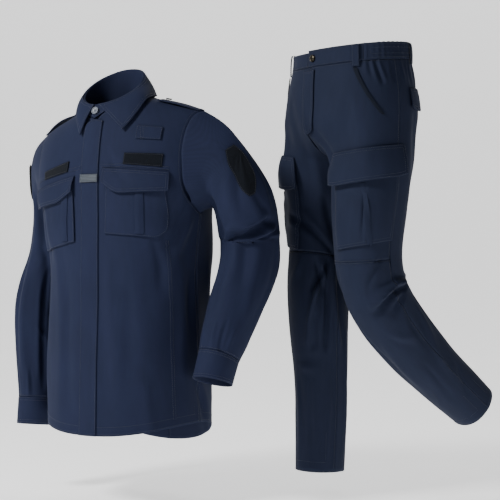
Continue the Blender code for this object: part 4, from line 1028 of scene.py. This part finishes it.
# from_turn, from_along, to_turn, to_along, wide_mm, high_mm, bow_mm; turn 0 is the outer side,
# 90 the front, and along is measured down the leg from the seat's height.
left_leg_folds = (
    (14, 0.214, 46, 0.266, 5, -2.6, 2),
    (28, 0.219, 38, 0.244, 4, 1.8, 1),
    (-34, 0.288, -4, 0.278, 8, 4.5, -1),
    (-6, 0.278, 46, 0.300, 8, 5.5, 2),
    (-36, 0.304, -6, 0.295, 7, -8.0, -1),
    (-8, 0.294, 49, 0.316, 7, -9.0, 2),
    (-16, 0.316, 22, 0.330, 8, -4.5, 2),
    (60, 0.300, 96, 0.316, 12, 1.8, 4),
    (110, 0.240, 132, 0.300, 10, -2.2, 4),
    (-70, 0.262, -120, 0.258, 9, -4.6, 4),
    (-60, 0.286, -128, 0.282, 9, 4.2, -5),
    (-66, 0.318, -118, 0.322, 9, -4.2, 4),
    (-140, 0.270, -172, 0.300, 9, 3.0, 4),
    (-150, 0.300, -178, 0.340, 8, -3.0, 3),
    (47, 0.370, 14, 0.413, 9, 2.0, 4),
    (-2, 0.350, 4, 0.442, 9, -2.2, 5),
    (-31, 0.380, -10, 0.470, 10, 2.4, -5),
    (-10, 0.470, 6, 0.550, 9, 2.0, 4),
    (33, 0.490, 44, 0.600, 9, -1.8, -4),
    (70, 0.380, 76, 0.540, 12, 1.8, 7),
    (108, 0.360, 100, 0.520, 11, -2.0, -6),
    (140, 0.380, 134, 0.560, 10, 2.2, 6),
    (176, 0.350, 168, 0.520, 10, -2.2, 5),
    (-60, 0.360, -72, 0.500, 11, -2.4, 6),
    (-96, 0.380, -90, 0.560, 11, 2.4, -7),
    (-140, 0.400, -132, 0.580, 10, -2.2, 6),
    (-20, 0.560, 10, 0.620, 8, -2.0, 3),
    (60, 0.570, 90, 0.630, 9, 1.8, -3),
    (42, -0.216, 28, -0.168, 4, -2.6, 1),
    (34, -0.216, 21, -0.172, 4, 2.2, 1),
    (52, -0.216, 46, -0.184, 4, -1.8, 1),
    (10, -0.216, 4, -0.176, 5, -2.2, 1),
    (-16, -0.222, -20, -0.180, 5, 2.0, 1),
    (-40, -0.226, -38, -0.178, 5, -2.2, 1),
    (-66, -0.228, -62, -0.182, 5, 2.0, 1),
    (118, -0.060, 98, 0.020, 9, -3.0, 4),
    (128, -0.075, 112, 0.004, 9, 2.4, 3),
    (76, -0.120, 60, 0.030, 15, -2.0, 8),
    (100, -0.150, 118, 0.000, 13, 2.2, -7),
    (128, -0.060, 108, 0.120, 14, -2.2, 8),
    (96, 0.020, 90, 0.190, 16, 2.0, 8),
    (150, 0.020, 140, 0.190, 13, 2.4, -7),
    (-40, -0.100, -52, 0.080, 15, -2.0, 8),
    (-80, -0.080, -70, 0.120, 16, 2.4, -9),
    (-110, 0.010, -120, 0.200, 14, -2.6, 8),
    (-150, 0.030, -140, 0.220, 12, 2.4, -6),
    (-128, -0.030, -160, 0.040, 10, -3.0, 4),
    (-118, 0.000, -158, 0.066, 9, 2.6, 4),
    (172, 0.040, 166, 0.200, 11, -2.2, 5),
)
right_leg_folds = (
    (166, 0.206, 112, 0.125, 8, 4.2, 5),
    (164, 0.212, 86, 0.128, 8, -4.4, -6),
    (168, 0.196, 140, 0.080, 8, -3.6, 5),
    (164, 0.217, 131, 0.286, 7, -9.0, 3),
    (160, 0.222, 117, 0.409, 8, 6.5, -6),
    (158, 0.234, 154, 0.418, 7, -7.6, 5),
    (172, 0.245, -172, 0.415, 7, 4.4, -5),
    (135, 0.238, 149, 0.290, 7, -8.0, 3),
    (150, 0.230, 136, 0.340, 6, 4.0, -3),
    (145, 0.293, 120, 0.385, 8, -2.8, 4),
    (104, 0.236, 84, 0.270, 9, 2.2, 2),
    (87, 0.446, 141, 0.445, 5, -1.8, 2),
    (94, 0.465, 136, 0.471, 5, 1.6, -2),
    (100, 0.484, 126, 0.488, 5, -1.4, 1),
    (159, 0.470, 158, 0.687, 8, 2.0, 3),
    (120, 0.500, 124, 0.680, 10, -1.8, -5),
    (80, 0.500, 84, 0.690, 12, 1.8, 6),
    (40, 0.260, 30, 0.440, 12, -2.0, 6),
    (20, 0.300, 34, 0.560, 13, 2.0, -8),
    (10, 0.480, 4, 0.680, 11, -1.8, 5),
    (-30, 0.240, -20, 0.460, 13, 2.2, 8),
    (-60, 0.220, -110, 0.226, 10, -3.2, 5),
    (-64, 0.252, -118, 0.262, 10, 3.0, -5),
    (-70, 0.290, -112, 0.300, 10, -2.8, 4),
    (-80, 0.340, -74, 0.600, 13, 2.2, -8),
    (-120, 0.320, -128, 0.560, 12, -2.4, 7),
    (-150, 0.400, -146, 0.660, 12, 2.0, -6),
    (44, -0.216, 34, -0.176, 4, -2.2, 1),
    (14, -0.216, 8, -0.176, 5, 2.2, 1),
    (-14, -0.222, -18, -0.178, 5, -2.2, 1),
    (-42, -0.226, -40, -0.180, 5, 2.2, 1),
    (-70, -0.228, -64, -0.184, 5, -2.0, 1),
    (104, -0.140, 122, 0.010, 12, -2.2, 6),
    (84, -0.110, 70, 0.060, 15, 2.2, -8),
    (60, -0.020, 64, 0.180, 14, -2.0, 6),
    (126, -0.040, 134, 0.140, 12, 2.2, 6),
    (-40, -0.100, -50, 0.100, 15, -2.0, 8),
    (-82, -0.070, -72, 0.130, 16, 2.4, -9),
    (-112, 0.010, -122, 0.190, 14, -2.6, 8),
    (-128, -0.030, -160, 0.040, 10, -3.0, 4),
    (-150, 0.030, -140, 0.200, 12, 2.4, -6),
)
forms["left_leg"] = {"folds": left_leg_folds, "drape_mm": 1.5}
forms["right_leg"] = {"folds": right_leg_folds, "drape_mm": 1.5}
# start of the node's name, flat width, length and area in metres, rows of stitches in mm
leg_panels = (
    ("thigh_front_", (0.29, 0.47, 0.110), (2.5,)),
    ("shin_front_", (0.24, 0.53, 0.108), (2.5,)),
    ("leg_back_", (0.33, 1.02, 0.212), ()),
)
leg_rows = []
for side in ("left", "right"):
    part = side + "_leg"
    for start, cut, insets in leg_panels:
        leg_rows += sewn_cloth(start + side, part, trouser_twill, "trouser_cloth", cut, insets,
                               **forms[part])
leg_hem_inset_mm = 24.0
leg_hem_from = 0.62
for side in ("left", "right"):
    for start in ("shin_front_", "leg_back_"):
        leg_rows += edge_rows(cloth[start + side], side + "_leg", (leg_hem_inset_mm,), leg_hem_from)
sew("leg_stitches", leg_rows, trouser_thread)

# The waistband and its loops
# The band is plain and doubled over the fly, and elastic from hip to hip behind, where rows of
# stitches hold the gathers. Five belt loops are sewn over it at top and bottom.
waist_rows = []
# node, its flat width, length and area in metres, and its rows of stitches in mm from the edge
narrow_loop = (0.018, 0.054, 0.0009)
waist_pieces = (
    ("waistband_elastic", (0.60, 0.046, 0.0215), ()),
    ("waistband_left", (0.155, 0.043, 0.0058), (2.5,)),
    ("waistband_right", (0.125, 0.040, 0.0042), (2.5,)),
    ("belt_loop_back", (0.030, 0.054, 0.0015), (2.5,)),
    ("belt_loop_front_left", narrow_loop, (2.5,)),
    ("belt_loop_front_right", narrow_loop, (2.5,)),
    ("belt_loop_side_left", narrow_loop, (2.5,)),
    ("belt_loop_side_right", narrow_loop, (2.5,)),
)
# pitch in degrees, height in mm, the band's top along, and the channels' width in metres
elastic_gathers = (4.6, 1.5, -0.4665, 0.0112)
for node, cut, insets in waist_pieces:
    elastic = node == "waistband_elastic"
    waist_rows += sewn_cloth(node, "hips", trouser_twill, "trouser_cloth", cut, insets,
                             "gathered" if elastic else "laid", level=3 if elastic else 2,
                             drape_mm=0.4, patch=0.03, gathers=elastic_gathers if elastic else None)
# A narrow folded tape covers each join of a plain front and the elastic, a degree past its end.
elastic_points = read(cloth["waistband_elastic"].data.vertices, "co", 3).astype(float)
turns, alongs = chart(elastic_points, "hips")[:2]
join_wide = 0.008
join_thick = 0.0010
for side, end in (("left", turns[turns > 0].min() + 1.0), ("right", turns[turns < 0].max() - 1.0)):
    beside = alongs[np.abs(turns - end) < 1.5]
    join_row = drawn_row(cloth["waistband_elastic"], "hips",
                         ((end, beside.min() + 0.001), (end, beside.mean()), (end, beside.max() - 0.001)))
    lay_strip("waist_join_" + side, join_row, "hips", join_wide, join_thick, trouser_twill)
elastic_insets_mm = (4.0, 12.5, 21.0)
waist_rows += edge_rows(cloth["waistband_elastic"], "hips", elastic_insets_mm)
sew("waist_stitches", waist_rows, trouser_thread)

# The fly, the slash pockets and the back flaps
# The fly's lap is marked by two curved rows of stitches. A thick rolled edge opens each slash
# pocket, and a buttonless flap closes each back one.
# node, its flat width, length and area in metres, and its rows of stitches in mm from the edge
front_pieces = (
    ("fly", (0.045, 0.15, 0.0053), (2.5, 7.0)),
    ("pocket_edge_left", (0.011, 0.125, 0.0011), ()),
    ("pocket_edge_right", (0.011, 0.125, 0.0011), ()),
    ("back_flap_left", (0.120, 0.052, 0.0053), (2.5, 7.0)),
    ("back_flap_right", (0.120, 0.052, 0.0053), (2.5, 7.0)),
)
front_rows = []
# The rolled pocket edges are drawn in a darker twill than the trousers: painted shade of the open pocket
# mouths.
pocket_mouth_painted_shade = woven_twill("painted_shade_pocket_twill", "0c101a", "171d2c", trouser_cloth["twill_mm"])
for node, cut, insets in front_pieces:
    side = "right" if node.endswith("right") else "left"
    part = side + "_leg"
    material = pocket_mouth_painted_shade if "edge" in node else trouser_twill
    under = ("leg_back_" if "back" in node else "thigh_front_") + side
    front_rows += sewn_cloth(node, part, material, "trouser_cloth", cut, insets, "laid", under,
                             **forms[part])
sew("front_stitches", front_rows, trouser_thread)

# The cargo pockets
# A bag with a box pleat down its middle stands a little off each thigh, under a flap with a
# slanted front corner. Both are stitched twice round the edge.
cargo_rows = []
# start of the node's name, and the flat width, length and area in metres
cargo_pieces = (("cargo_pocket_", (0.20, 0.215, 0.0325)), ("cargo_flap_", (0.20, 0.095, 0.0152)))
cargo_pleat_wide = 0.013
cargo_pleat_thick = 0.0016
for side in ("left", "right"):
    part = side + "_leg"
    for start, cut in cargo_pieces:
        cargo_rows += sewn_cloth(start + side, part, trouser_twill, "trouser_cloth", cut, (2.5, 8.0),
                                 "laid", "thigh_front_" + side, **forms[part])
    pleat = drawn_row(cloth["cargo_pocket_" + side], part, ((51, 0.060), (43, 0.130), (36, 0.196)))
    lay_strip("cargo_pleat_" + side, pleat, part, cargo_pleat_wide, cargo_pleat_thick, trouser_twill)
sew("cargo_stitches", cargo_rows, trouser_thread)

# The waist button
# A darkened brass tack button with a rolled rim and a low dome, as on work trousers, hammered
# on through the doubled band.


def brushed_metal(name, shade, light):
    """Antiqued brass: warm grey metal, dark in its hollows, polished where it rubs."""
    material, tree, shader = new_material(name, {"Roughness": 0.34, "Metallic": 1.0})
    brush = clouded(tree, shader, 420.0, 4.0, shade, light)
    raise_by(tree, shader, brush, 0.15, 0.0002)
    return material


button_brass = brushed_metal("antiqued_brass", "171613", "625c50")
# share of the radius in, share of the thickness up
snap_steps = ((0.10, 0.0), (0.08, -0.30), (0.10, 0.0), (0.14, 0.22), (0.22, 0.12))
turned_button("waist_button", snap_steps, 0, button_brass)
